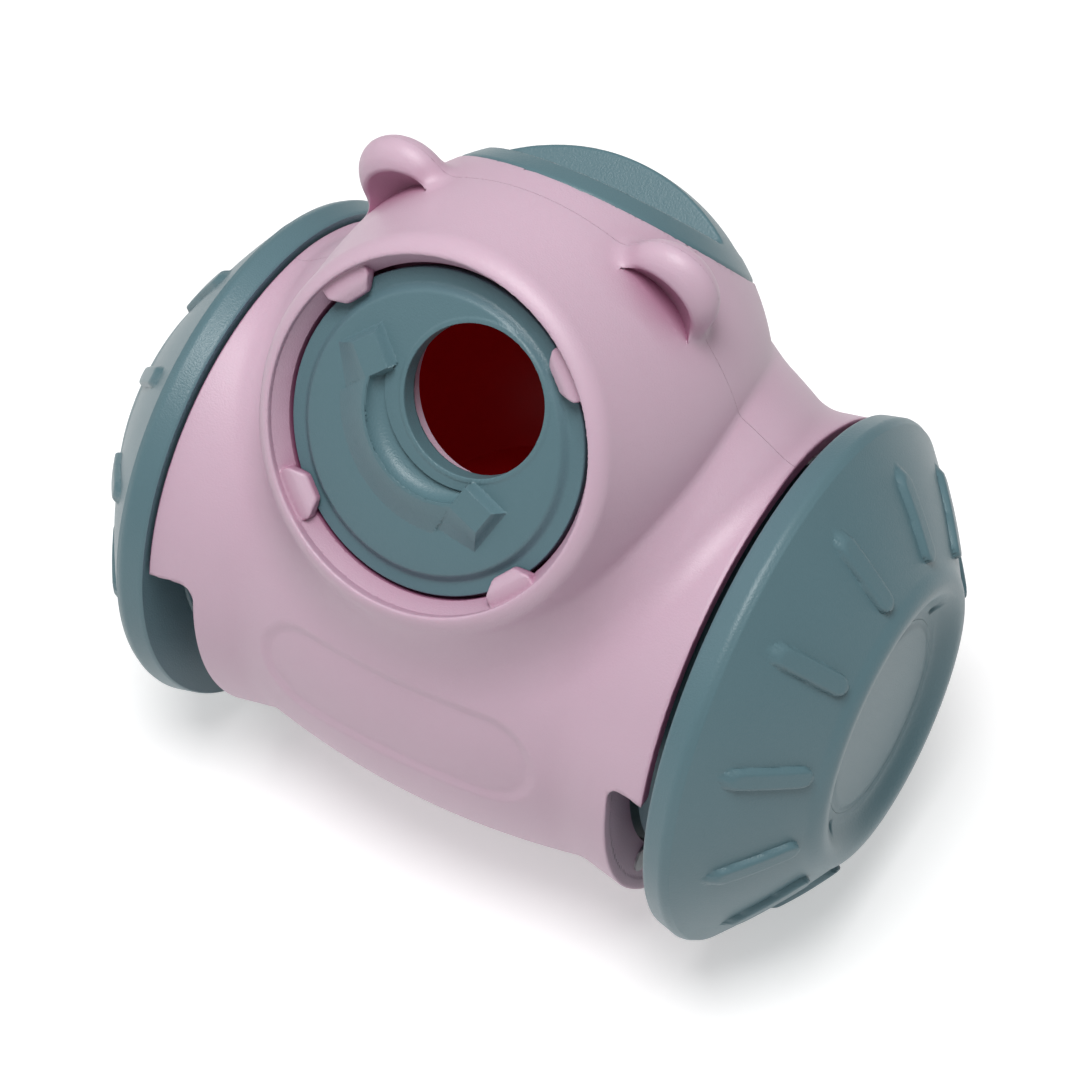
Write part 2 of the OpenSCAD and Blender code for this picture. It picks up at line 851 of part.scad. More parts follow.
module axle_screw() {
    color(steel) along_x() translate([0, 0, axle_end + washer_t]) {
        cylinder(r = screw_head_r, h = screw_head_h);
        translate([0, 0, -screw_l]) cylinder(r = screw_r, h = screw_l);
    }
}

// Cap that snaps into the hub and hides the axle's end
module hub_cap() {
    rim = face_x - cap_drop;
    color(grey) along_x() rotate_extrude() polygon([[0, cap_x], [cap_pocket_r - cap_slip
        - cap_skirt_wall, cap_x], [cap_pocket_r - cap_slip - cap_skirt_wall, cap_x - cap_skirt_l],
        [cap_pocket_r - cap_slip, cap_x - cap_skirt_l], [cap_pocket_r - cap_slip, cap_x],
        [cap_r, cap_x], [cap_r, rim - groove_w], [cap_r - groove_w, rim],
        [cap_r - 2 * groove_w, rim], [cap_r / 2, rim - cap_dish * cap_dish_share], [0, rim - cap_dish]]);
}

front_shell();
rear_shell();
hopper_front();
hopper_rear();
outlet_dial();
dial_seal();
fill_lid();
lid_gasket();
axle();
mirror([1, 0, 0]) end_plate();  // left_end_plate
end_plate();  // right_end_plate
mirror([1, 0, 0]) plate_screws();  // left_plate_screws
plate_screws();  // right_plate_screws
counterweight();
weight_cover();
weight_screws();
mirror([1, 0, 0]) spacer();  // left_spacer
spacer();  // right_spacer
mirror([1, 0, 0]) wheel();  // left_wheel
wheel();  // right_wheel
mirror([1, 0, 0]) bush();  // left_bush
bush();  // right_bush
mirror([1, 0, 0]) washer();  // left_washer
washer();  // right_washer
mirror([1, 0, 0]) axle_screw();  // left_axle_screw
axle_screw();  // right_axle_screw
mirror([1, 0, 0]) hub_cap();  // left_hub_cap
hub_cap();  // right_hub_cap
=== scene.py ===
"""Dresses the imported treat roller: pink ball-and-barrel body, grey wheels, outlet dial and lid."""

import json
import math
from types import SimpleNamespace

import bmesh
import bpy
import numpy as np
from mathutils import Matrix, Vector


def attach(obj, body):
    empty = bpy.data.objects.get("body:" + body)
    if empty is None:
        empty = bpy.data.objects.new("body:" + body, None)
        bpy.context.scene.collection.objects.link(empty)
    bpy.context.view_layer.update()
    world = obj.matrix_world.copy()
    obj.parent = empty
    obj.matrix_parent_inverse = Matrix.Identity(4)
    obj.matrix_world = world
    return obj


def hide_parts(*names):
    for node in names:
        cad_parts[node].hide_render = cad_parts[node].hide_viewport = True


bl_info = {
    "name": "Treat roller",
    "version": (1, 0, 0),
    "blender": (4, 5, 0),
    "location": "View3D > Sidebar > Treat roller",
    "description": "Builds the mouldings of a two-wheeled treat roller on its packed solids",
    "category": "Object",
}

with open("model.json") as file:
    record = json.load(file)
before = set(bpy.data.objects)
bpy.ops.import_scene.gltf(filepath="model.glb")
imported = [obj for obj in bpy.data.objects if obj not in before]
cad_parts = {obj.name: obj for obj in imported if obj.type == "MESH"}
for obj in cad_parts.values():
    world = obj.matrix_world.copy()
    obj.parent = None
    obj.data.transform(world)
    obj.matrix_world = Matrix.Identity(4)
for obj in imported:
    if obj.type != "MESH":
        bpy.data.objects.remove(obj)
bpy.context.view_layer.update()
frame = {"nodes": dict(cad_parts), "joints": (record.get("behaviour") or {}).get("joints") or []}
MM = 0.001
JOINTS = {joint["name"]: joint for joint in frame["joints"]}
AXLE_Z = JOINTS["right_wheel_spin"]["pos_m"][2] / MM
DIAL_AXIS = JOINTS["dial_turn"]["axis"]
LID_AXIS = JOINTS["lid_turn"]["axis"]


def length(name, text, millimetres):
    """A size property. Its value is in metres, its default is written in millimetres."""
    return bpy.props.FloatProperty(name=name, description=text, default=millimetres * MM,
                                   unit="LENGTH", precision=5)


def angle(name, text, degrees):
    """An angle property, its default written in degrees."""
    return bpy.props.FloatProperty(name=name, description=text, default=math.radians(degrees),
                                   unit="ROTATION", subtype="ANGLE")


def number(name, text, value):
    """A plain number property."""
    return bpy.props.FloatProperty(name=name, description=text, default=value)


def colour(name, text, hex_value):
    """A colour property, its default written as an sRGB hex value."""
    return bpy.props.FloatVectorProperty(name=name, description=text, default=linear(hex_value),
                                         subtype="COLOR", size=3, min=0, max=1)


def linear(hex_value):
    """Linear colour of an sRGB hex value."""
    parts = [int(hex_value[i:i + 2], 16) / 255 for i in (1, 3, 5)]
    return tuple(c / 12.92 if c <= 0.04045 else ((c + 0.055) / 1.055) ** 2.4 for c in parts)


def sizes_of(group):
    """Values of a settings group: lengths in millimetres, angles in radians, colours as they are."""
    settings = getattr(bpy.context.scene, "roller_" + group)
    values = {}
    for name in settings.__annotations__:
        in_metres = settings.bl_rna.properties[name].unit == "LENGTH"
        values[name] = getattr(settings, name) / MM if in_metres else getattr(settings, name)
    return SimpleNamespace(**values)


class BodySizes(bpy.types.PropertyGroup):
    half: length("Half width", "From the middle to the flange's edge", 46.8)
    lead: length("Left lead", "How much nearer the left flange comes to its wheel", 0.65)
    belly_r: length("Belly radius", "Radius of the barrel in the middle", 44.2)
    waist_r: length("Waist radius", "Radius of the waist beside each flange", 41.0)
    waist_x: length("Waist place", "Distance of the waist from the middle", 30.6)
    waist_soft: length("Waist softness", "Softness of the bend at the waist", 0.8)
    flange_r: length("Flange radius", "Radius of the flange's edge beside the wheel", 44.0)
    flange_x: length("Cut-back place", "How far the cut-back reaches in, from the middle", 39.6)
    end_x: length("End wall place", "Inner face of the ring wall that closes each end", 38.7)
    end_r: length("End wall radius", "Inner radius of that ring wall", 34.5)
    wall: length("Wall", "Wall thickness of the shells", 2.2)
    seam_y: length("Seam place", "How far the plane where the shells meet lies behind the axle", 3.5)
    seam_gap: length("Seam gap", "Width of the line between the shells", 0.03)
    notch_z: length("Cut-back height", "Top of the flange's cut-back above the axle", 10.3)
    notch_round: length("Cut-back rounding", "Corner radius of the cut-back", 3.0)
    ball_x: length("Ball half width", "Half width of the ball along the axle", 38.08)
    ball_r: length("Ball radius", "Radius of the ball seen from the side", 41.56)
    ball_y: length("Ball place", "How far the ball's middle lies behind the axle", 0.85)
    ball_z: length("Ball height", "Height of the ball's middle above the axle", 37.3)
    cross_z: length("Axes' height", "Height above the axle where snout and lid axes cross", 38.5)
    shoulder: length("Shoulder", "Size of the slanted shoulder between ball and barrel", 6.3)
    shoulder_back: length("Back shoulder", "How much larger the shoulder is behind the axle", 2.6)
    shoulder_soft: length("Shoulder softness", "Rounding where the shoulder runs out", 2.0)
    fold_soft: length("Fold softness", "Rounding of the fold between shoulder and ball", 0.7)


class EarSizes(bpy.types.PropertyGroup):
    lean: angle("Lean", "Angle of an ear from upright", 36.0)
    reach: length("Reach", "Distance of an ear's tip from where the axes cross", 48.4)
    radius: length("Radius", "Half width of an ear", 8.3)
    thick: length("Thickness", "Thickness of an ear from front to back", 9.4)
    front: length("Front", "Where an ear's front lies, in front of the seam", 5.0)
    foot: length("Foot fillet", "Fillet between an ear and the ball", 3.0)
    scoop: length("Scoop", "Radius of the scoop in an ear's front", 8.2)
    scoop_in: length("Scoop depth", "How deep the scoop goes", 4.4)
    drop: length("Scoop place", "How far the scoop's middle lies below the ear's middle", 3.6)


class PanelSizes(bpy.types.PropertyGroup):
    width: length("Length", "Length of the shallow panel on the belly", 52.0)
    height: length("Height", "Height of the panel", 18.6)
    depth: length("Depth", "Depth of the panel", 0.6)
    soft: length("Edge", "Width of the panel's soft edge", 1.8)
    middle_z: length("Place", "Height of the panel's middle above the axle", 3.4)


class SnoutSizes(bpy.types.PropertyGroup):
    lip_r: length("Lip radius", "Outer radius of the lip around the dial", 29.3)
    lip_top: length("Lip top", "Top of the lip, from where the axes cross", 32.7)
    lip_round: length("Lip rounding", "Rounding of the lip's outer edge", 1.5)
    recess_r: length("Recess radius", "Radius of the recess that holds the dial", 26.0)
    recess_base: length("Recess base", "Bottom of the recess", 27.1)
    flare: length("Lip flare", "How far the recess opens towards the lip's top", 1.15)
    flare_low: length("Flare foot", "Height where the recess starts to open", 30.0)
    flare_h: length("Flare height", "Height over which it opens", 1.9)
    back_base: length("Wall base", "Underside of the wall behind the dial", 24.9)
    fillet: length("Fillet", "Fillet between the snout and the body", 9.0)
    tab_angle: angle("Tab angle", "Direction of the tabs from sideways", 42.0)
    tab_half: length("Tab half width", "Half width of a tab", 4.3)
    tab_in: length("Tab reach", "Radius that a tab reaches in to", 23.5)
    tab_low: length("Tab underside", "Underside of a tab", 30.4)
    tab_top: length("Tab top", "Top of a tab", 32.55)
    slot_w: length("Mould slot", "How far the mould's slot stands out beside a tab", 1.3)


class DialSizes(bpy.types.PropertyGroup):
    radius: length("Radius", "Radius of the dial", 25.35)
    base: length("Underside", "Underside of the dial, from where the axes cross", 27.4)
    face: length("Edge face", "Face of the dial's flat edge", 30.0)
    under: length("Hollow", "Underside of the raised middle, from where the axes cross", 29.1)
    slack: length("Hole slack", "How much wider the hole in the wall behind the dial is", 1.6)
    rise: length("Rise", "Height of the raised middle", 1.1)
    dome: length("Dome", "How much the raised middle bulges", 1.2)
    middle_r: length("Middle radius", "Radius of the raised middle", 22.3)
    hole_r: length("Hole radius", "Radius of the outlet hole", 11.7)
    hole_off: length("Hole offset", "Distance of the hole from the dial's middle", 9.7)
    hole_angle: angle("Hole direction", "Direction of the hole at rest", 54.0)
    collar_r: length("Collar radius", "Outer radius of the raised collar around the hole", 12.3)
    collar_h: length("Collar height", "Height of that collar", 0.15)
    grip_r: length("Grip radius", "Radius of the grip's crest about the hole", 18.5)
    grip_end_r: length("Grip end radius", "Radius of the crest where it meets the pads", 16.9)
    grip_in: length("Grip inner radius", "Radius of the groove's edge inside the grip", 14.6)
    grip_h: length("Grip height", "Height of the grip above the raised middle", 2.0)
    groove: length("Grip groove", "Depth of the groove inside the grip", 0.7)
    grip_foot_r: length("Grip foot", "Radius of the crisp foot outside the grip", 23.7)
    grip_foot_end: length("Grip end foot", "How much nearer that foot lies at the grip's ends", 1.4)
    grip_shift: length("Grip shift", "How far the grip's middle lies beside the hole's", 0.9)
    grip_half: angle("Grip spread", "Half the angle that the grip's arc spans", 43.6)
    pad_w: length("Pad width", "Width of the flat pad at each end of the grip", 4.2)
    pad_l: length("Pad length", "Length of a pad", 5.6)
    pad_turn: angle("Pad turn", "How far a pad turns out of the grip's arc", 31.5)


class LidSizes(bpy.types.PropertyGroup):
    radius: length("Radius", "Radius of the lid", 25.4)
    gap: length("Gap", "Gap around the lid", 0.3)
    base: length("Underside", "Underside of the lid's edge, from where the axes cross", 27.9)
    band_r: length("Band", "Radius inside the bevelled band", 21.4)
    floor: length("Scoop floor", "Floor of the finger scoops", 30.3)
    bar_half: length("Bar half width", "Half width of the grip bar", 3.4)
    plug_r: length("Plug radius", "Outer radius of the plug", 21.0)
    plug_base: length("Plug end", "Lower end of the plug", 21.5)
    plug_wall: length("Plug wall", "Wall thickness of the plug", 1.8)
    lug_w: length("Lug width", "Width of a locking lug", 8.0)
    lug_out: length("Lug reach", "How far a lug stands out of the plug", 2.4)
    lug_base: length("Lug underside", "Underside of a lug", 22.2)
    lug_top: length("Lug top", "Top of a lug", 24.6)
    ledge_base: length("Ledge underside", "Underside of the ledge that the lid locks under", 24.97)
    ledge_top: length("Ledge top", "Top of that ledge", 27.47)
    ledge_hole: length("Ledge hole", "Radius of the hole in the ledge", 21.4)


class WheelSizes(bpy.types.PropertyGroup):
    radius: length("Radius", "Outer radius of a wheel", 46.0)
    inner_edge: length("Rim inner edge", "Radius of the rim's inner edge", 45.1)
    rim_x: length("Rim place", "Where the rim starts along the axle", 48.0)
    crease_x: length("Crease place", "Where the face starts along the axle", 52.5)
    ring_x: length("Ring place", "Foot of the hub's ring along the axle", 66.9)
    ring_r: length("Ring radius", "Foot radius of the hub's ring", 27.0)
    crest_x: length("Crest place", "Crest of the hub's ring along the axle", 68.7)
    crest_r: length("Crest radius", "Radius of that crest", 24.0)
    groove_x: length("Groove place", "Bottom of the groove inside the ring", 65.9)
    groove_r: length("Groove radius", "Radius of that groove", 18.4)
    dish_x: length("Dish place", "Face of the flat dish in the hub", 66.2)
    bulge: length("Bulge", "Bulge of the face", 0.7)
    skirt_x: length("Skirt place", "Inner end of the skirt", 40.5)
    skirt_r: length("Skirt radius", "Radius of the skirt inside the body's end", 34.0)
    wall: length("Wall", "Wall thickness", 2.0)
    cap_r: length("Cap radius", "Radius of the hub cap", 17.0)
    cap_x: length("Cap seat", "Seat of the hub cap along the axle", 64.3)
    pocket_r: length("Pocket radius", "Radius of the pocket under the cap", 15.5)
    pocket_x: length("Pocket depth", "Bottom of the pocket along the axle", 60.0)
    rib_w: length("Rib width", "Width of a rib", 3.7)
    rib_h: length("Rib height", "Height of a rib", 1.3)
    rib_in: length("Rib inner end", "Inner end of a rib, from the axle", 28.4)
    rib_out: length("Rib outer end", "Outer end of a rib, from the axle", 41.0)
    rib_phase: angle("Rib phase", "Direction of the first rib from the front", -4.0)
    ribs: bpy.props.IntProperty(name="Ribs", description="Number of ribs", default=12)
    dimple_r: length("Dimple place", "Distance of the two dimples from the axle", 19.6)
    dimple_turn: angle("Dimple direction", "Direction of the first dimple from the front", 148.0)


class FinishColours(bpy.types.PropertyGroup):
    pink: colour("Shell pink", "Pink of the two body shells", "#cbaebf")
    # Painted shade: this deeper pink is mixed into the shells' folds and gaps by ambient occlusion,
    # where shade falls
    pink_painted_shade: colour("Deep pink", "Fuller pink that gathers in folds and gaps", "#96456f")
    grey: colour("Wheel grey", "Grey-green of wheels, dial and lid", "#5b7880")
    red: colour("Chamber red", "Red of the food chamber", "#d9101c")
    acetal: colour("Acetal", "Natural acetal of bushes and spacers", "#e4e3dc")
    silicone: colour("Silicone", "Translucent silicone of the seals", "#d5d8d8")
    steel: colour("Steel", "Bright drawn steel", "#b3b5b7")
    floor: colour("Floor", "Pale studio floor", "#e9e9e9")


class StageSizes(bpy.types.PropertyGroup):
    eye: bpy.props.FloatVectorProperty(name="Camera place", description="Camera above the floor",
                                       default=(0.18439, -0.28357, 0.41896), unit="LENGTH")
    focal: number("Lens", "Focal length in millimetres on a 36 mm sensor", 99.23)
    world: number("World light", "Strength of the light from all round", 0.26)
    key: number("Key light", "Power of the large soft light above", 7.2)
    fill: number("Fill light", "Power of the light from the left", 0.6)


# Shapes as fields: negative inside, zero on the surface, in millimetres

SQRT_HALF = math.sqrt(0.5)
TINY = 1e-9


def soft_min(a, b, k):
    """Joins two fields with a soft hollow of about k."""
    h = np.clip(0.5 + 0.5 * (b - a) / k, 0, 1)
    return b + (a - b) * h - k * h * (1 - h)


def soft_max(a, b, k):
    """Cuts one field by another with a soft edge of about k."""
    return -soft_min(-a, -b, k)


def fillet_join(a, b, r):
    """Joins two fields with a round fillet of radius r."""
    u, v = np.maximum(r - a, 0), np.maximum(r - b, 0)
    return np.maximum(r, np.minimum(a, b)) - np.hypot(u, v)


def round_cut(a, b, r):
    """Keeps what is inside both fields, with the edge rounded to radius r."""
    return -fillet_join(-a, -b, r)


def subtract(a, b):
    """Takes field b away from field a."""
    return np.maximum(a, -b)


def ramp(value, low, high):
    """Smooth step from 0 at low to 1 at high."""
    t = np.clip((value - low) / (high - low), 0, 1)
    return t * t * (3 - 2 * t)


def edge_slope(distance, width, round_off):
    """Share of full height at a distance outside an edge: a straight slope with soft ends."""
    t = np.clip(distance / width, 0, 1)
    return np.clip(1 - t, 0, 1) + round_off * np.sin(2 * math.pi * t) / (2 * math.pi)


def axis_frame(axis):
    """Two unit vectors of an axis: up, square to it and to X, and out, along it."""
    out = np.array(axis, float) / np.linalg.norm(axis)
    up = np.cross(out, (1.0, 0, 0))
    return (up if up[2] > 0 else -up), out


def turned_frame(axis, cross_z):
    """Function that turns points into the frame of an axis: right, up and out along the axis."""
    up_axis, out_axis = axis_frame(axis)

    def to_frame(x, y, z):
        lift = z - cross_z
        return x, y * up_axis[1] + lift * up_axis[2], y * out_axis[1] + lift * out_axis[2]
    return to_frame


def thirds(right, up):
    """Distances along and beside each of three directions, a third of a turn apart."""
    for k in range(3):
        turn = 2 * math.pi * k / 3
        yield (right * math.cos(turn) + up * math.sin(turn),
               np.abs(up * math.cos(turn) - right * math.sin(turn)))


def gradient(field, points):
    """Outward unit normals of a field at points, from four corners around each."""
    step = 0.01
    total = np.zeros_like(points)
    for corner in ((1, -1, -1), (-1, -1, 1), (-1, 1, -1), (1, 1, 1)):
        c = np.array(corner, float)
        p = points + c * step
        total += field(p[:, 0], p[:, 1], p[:, 2])[:, None] * c
    return total / np.maximum(np.linalg.norm(total, axis=1, keepdims=True), TINY)


def edge_crossings(field, values, axes, axis):
    """Points where the grid's edges along one axis pass through the surface."""
    refinements = 2
    low, high = [slice(None)] * 3, [slice(None)] * 3
    low[axis], high[axis] = slice(0, -1), slice(1, None)
    inside = values < 0
    start = np.argwhere(inside[tuple(low)] != inside[tuple(high)])
    end = start.copy()
    end[:, axis] += 1
    at_low, at_high = values[tuple(start.T)].astype(float), values[tuple(end.T)].astype(float)
    point = np.stack([axes[d][start[:, d]] for d in range(3)], 1)
    base = point[:, axis].copy()
    span = axes[axis][end[:, axis]] - base
    below, above = np.zeros(len(start)), np.ones(len(start))
    f_below, f_above = at_low, at_high
    share = f_below / (f_below - f_above)
    for _ in range(refinements):
        point[:, axis] = base + share * span
        f = field(point[:, 0], point[:, 1], point[:, 2])
        same = (f < 0) == (f_below < 0)
        below, f_below = np.where(same, share, below), np.where(same, f, f_below)
        above, f_above = np.where(same, above, share), np.where(same, f_above, f)
        gap = f_below - f_above
        share = below + (above - below) * f_below / np.where(gap == 0, 1, gap)
    point[:, axis] = base + share * span
    return start, point, at_low < 0


def surface_net(field, axes):
    """Closed quad mesh of a field: one vertex a grid cell, set where the planes through its
    crossings meet, so that moulded edges stay crisp. Returns places, quads and corner normals."""
    slab = 12  # grid planes that are worked out at a time
    hold = 0.06  # pull of a vertex towards the middle of its crossings
    spare_share = 0.3  # how far a vertex may leave its cell
    even = 0.992  # agreement of the normals at a vertex above which it counts as smooth
    inset_share = 0.3  # how far inside a face the normal of a sharp corner is read
    shape = tuple(len(a) for a in axes)
    cells = tuple(n - 1 for n in shape)
    values = np.empty(shape, np.float32)
    x_places, y_places, z_places = (a.astype(np.float32) for a in axes)
    for i in range(0, shape[0], slab):
        values[i:i + slab] = field(*np.meshgrid(x_places[i:i + slab], y_places, z_places,
                                                indexing="ij"))
    all_ids, all_points, all_normals = [], [], []
    for axis in range(3):
        start, point, goes_out = edge_crossings(field, values, axes, axis)
        ring = []
        for du, dv in ((-1, -1), (0, -1), (0, 0), (-1, 0)):
            cell = start.copy()
            cell[:, (axis + 1) % 3] += du
            cell[:, (axis + 2) % 3] += dv
            ring.append(np.ravel_multi_index(cell.T, cells))
        ring = np.stack(ring, 1)
        ring[~goes_out] = ring[~goes_out][:, ::-1]
        all_ids.append(ring)
        all_points.append(point)
        all_normals.append(gradient(field, point))
    ids = np.concatenate(all_ids)
    used, inverse = np.unique(ids, return_inverse=True)
    quads = inverse.reshape(ids.shape)
    flat = quads.ravel()
    count = len(used)
    points = np.repeat(np.concatenate(all_points), 4, axis=0)
    normals = np.repeat(np.concatenate(all_normals), 4, axis=0)
    hits = np.bincount(flat, minlength=count).astype(float)

    def gather(weights):
        return np.bincount(flat, weights=weights, minlength=count)

    def gather_each(rows):
        return np.stack([gather(rows[:, d]) for d in range(3)], 1)
    mean = gather_each(points) / hits[:, None]
    matrix = np.empty((count, 3, 3))
    for i in range(3):
        for j in range(i, 3):
            matrix[:, i, j] = matrix[:, j, i] = gather(normals[:, i] * normals[:, j])
    reach = np.sum(normals * (points - mean[flat]), 1)
    pull = gather_each(normals * reach[:, None])
    matrix += np.eye(3) * hold
    place = mean + np.linalg.solve(matrix, pull[:, :, None])[:, :, 0]
    corner = np.stack(np.unravel_index(used, cells), 1)
    for d in range(3):
        low, high = axes[d][corner[:, d]], axes[d][corner[:, d] + 1]
        spare = spare_share * (high - low)
        place[:, d] = np.clip(place[:, d], low - spare, high + spare)
    smooth = np.linalg.norm(gather_each(normals), axis=1) / hits > even
    corner_normal = gradient(field, place)[quads]
    rows, cols = np.nonzero(~smooth[quads])
    centre = place[quads].mean(1)
    at = place[quads[rows, cols]]
    corner_normal[rows, cols] = gradient(field, at + inset_share * (centre[rows] - at))
    return place, quads, corner_normal


def stations(*runs):
    """Grid places from runs of (start, end, step)."""
    parts = []
    for start, end, step in runs:
        parts.append(np.linspace(start, end, max(1, round((end - start) / step)), endpoint=False))
    return np.append(np.concatenate(parts), float(runs[-1][1]))


# Meshes and pieces

def link(name, data):
    """Object that shows some data, linked to the scene."""
    item = bpy.data.objects.new(name, data)
    bpy.context.scene.collection.objects.link(item)
    return item


def make_piece(name, places, faces, normals=None):
    """Mesh object from places in millimetres about the axle's middle."""
    mesh = bpy.data.meshes.new(name)
    world = (np.asarray(places, float) + (0, 0, AXLE_Z)) * MM
    mesh.vertices.add(len(world))
    mesh.vertices.foreach_set("co", world.astype(np.float32).ravel())
    mesh.loops.add(faces.size)
    mesh.loops.foreach_set("vertex_index", faces.astype(np.int32).ravel())
    mesh.polygons.add(len(faces))
    mesh.polygons.foreach_set("loop_start", np.arange(len(faces), dtype=np.int32) * faces.shape[1])
    mesh.update(calc_edges=True)
    mesh.validate()
    mesh.polygons.foreach_set("use_smooth", np.ones(len(mesh.polygons), bool))
    if normals is not None and len(mesh.loops) == faces.size:
        mesh.normals_split_custom_set(normals.reshape(-1, 3))
    return link(name, mesh)


def turned_piece(name, field, axes, axis, turn=0.0):
    """Meshes a field that is drawn in an axis's own frame, and lays it in place."""
    places, quads, normals = surface_net(field, axes)
    up, out = axis_frame(axis)
    right = np.array((1.0, 0, 0))
    first = right * math.cos(turn) + up * math.sin(turn)
    second = -right * math.sin(turn) + up * math.cos(turn)
    basis = np.stack([first, second, out])
    if np.linalg.det(basis) < 0:
        quads, normals = quads[:, ::-1], normals[:, ::-1]
    return make_piece(name, places @ basis + (0, 0, sizes_of("body").cross_z), quads,
                      normals @ basis)


def arc_steps(points, step):
    """Points along a polyline, no further apart than a step, with the corners kept."""
    result = [points[0]]
    for a, b in zip(points, points[1:]):
        steps = max(1, math.ceil(math.dist(a, b) / step))
        for i in range(1, steps + 1):
            t = i / steps
            result.append((a[0] + (b[0] - a[0]) * t, a[1] + (b[1] - a[1]) * t))
    return result


def spoke_grid(section, spokes):
    """Radius, turn and place along the axle for each point of a section and each spoke."""
    turns = np.linspace(0, 2 * math.pi, spokes, endpoint=False)
    r, turn = np.meshgrid(np.array(section)[:, 0], turns, indexing="ij")
    return r, turn, np.repeat(np.array(section)[:, 1:], spokes, 1)


def lathe(name, r, turn, x, side, closed, sharp):
    """Closed piece turned about the axle from a spoke grid, with edges that bend more than
    sharp degrees kept crisp. The turn runs from the front (-Y) up, alike on both wheels."""
    count, spokes = r.shape
    places = np.stack([x * side, -r * np.cos(turn), r * np.sin(turn)], 2).reshape(-1, 3)
    i, j = np.meshgrid(np.arange(count if closed else count - 1), np.arange(spokes), indexing="ij")
    i2, j2 = (i + 1) % count, (j + 1) % spokes
    quads = np.stack([i * spokes + j, i * spokes + j2, i2 * spokes + j2, i2 * spokes + j], 2)
    piece = make_piece(name, places, quads.reshape(-1, 4))
    edit = bmesh.new()
    edit.from_mesh(piece.data)
    bmesh.ops.holes_fill(edit, edges=[e for e in edit.edges if e.is_boundary], sides=0)
    bmesh.ops.recalc_face_normals(edit, faces=edit.faces)
    for face in edit.faces:
        face.smooth = True
    for edge in edit.edges:
        edge.smooth = edge.calc_face_angle(0.0) < math.radians(sharp)
    edit.to_mesh(piece.data)
    edit.free()
    return piece


def dress(piece, material, body, slot, *nodes):
    """Gives a piece its material and its body, and hides the nodes that it stands for. The slot is not
    used.
    """
    piece.data.materials.clear()
    piece.data.materials.append(MATERIALS[material])
    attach(piece, body)
    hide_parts(*nodes)


def dress_nodes(material, *names):
    """Gives carried-over nodes a material."""
    for name in names:
        data = frame["nodes"][name].data
        data.materials.clear()
        data.materials.append(MATERIALS[material])


# Materials

MATERIALS = {}


def add_node(tree, kind, links=(), **settings):
    """Adds a node. A setting that names an input sets it, any other is the node's own."""
    node = tree.nodes.new(kind)
    for key, value in settings.items():
        if key in node.inputs:
            node.inputs[key].default_value = value
        else:
            setattr(node, key, value)
    for source, target in links:
        tree.links.new(source, node.inputs[target])
    return node


def new_material(name):
    """Empty node material with its tree and the place on the piece that patterns follow."""
    material = bpy.data.materials.new(name)
    material.use_nodes = True
    tree = material.node_tree
    tree.nodes.clear()
    return material, tree, add_node(tree, "ShaderNodeTexCoord").outputs["Object"]


def shift(rgb, factor):
    """A colour made lighter or darker, with its alpha."""
    return tuple(min(1.0, c * factor) for c in rgb) + (1.0,)


def moulded_plastic(name, rgb, grain_mm, roughness, bump, specular=0.5, subsurface=0.0,
                    deep=None, glow=0.0):
    """Injection moulded plastic with the fine spark-eroded grain of its mould, drawn a little
    coarse so that it shows. The eye sees a satin surface with a faint sparkle near highlights and
    slow changes of tone. Deep is a fuller colour painted in as shade, mixed in by ambient
    occlusion within seven millimetres of folds and gaps. Glow is painted light: a faint emission of
    the part's own colour that stands in for the light that a thin wall lets in."""
    flow_mm = 28.0
    tone = 0.05
    sheen_spread = 0.06
    painted_shade_reach = 0.007
    material, tree, place = new_material(name)
    grain = add_node(tree, "ShaderNodeTexNoise", [(place, "Vector")], Scale=1 / (grain_mm * MM),
                     Detail=2.0, Roughness=0.6)
    flow = add_node(tree, "ShaderNodeTexNoise", [(place, "Vector")], Scale=1 / (flow_mm * MM),
                    Detail=3.0, Roughness=0.5)
    tint = add_node(tree, "ShaderNodeMix", [(flow.outputs["Fac"], 0)], data_type="RGBA",
                    A=shift(rgb, 1 - tone), B=shift(rgb, 1 + tone))
    if deep is not None:
        # Painted shade: ambient occlusion within a short reach mixes the deeper colour into folds, gaps
        # and hollows
        painted_shade_ao = add_node(tree, "ShaderNodeAmbientOcclusion", samples=4, Distance=painted_shade_reach)
        tint = add_node(tree, "ShaderNodeMix", [(painted_shade_ao.outputs["AO"], 0), (tint.outputs["Result"], "B")],
                        data_type="RGBA", A=shift(deep, 1.0))
    gloss = add_node(tree, "ShaderNodeMapRange", [(grain.outputs["Fac"], "Value")],
                     **{"To Min": roughness - sheen_spread, "To Max": roughness + sheen_spread})
    relief = add_node(tree, "ShaderNodeBump", [(grain.outputs["Fac"], "Height")],
                      Strength=bump, Distance=grain_mm * MM)
    looks = {"Specular IOR Level": specular}
    if subsurface:
        looks.update({"Subsurface Weight": subsurface, "Subsurface Scale": 0.002,
                      "Subsurface Radius": (1.0, 0.6, 0.7)})
    # Painted light: a faint emission of the base colour makes the part glow, though it is no lamp
    if glow:
        looks.update({"Emission Color": shift(rgb, 1.0), "Emission Strength": glow})
    shader = add_node(tree, "ShaderNodeBsdfPrincipled",
                      [(tint.outputs["Result"], "Base Color"), (gloss.outputs["Result"], "Roughness"),
                       (relief.outputs["Normal"], "Normal")], **looks)
    add_node(tree, "ShaderNodeOutputMaterial", [(shader.outputs["BSDF"], "Surface")])
    return material


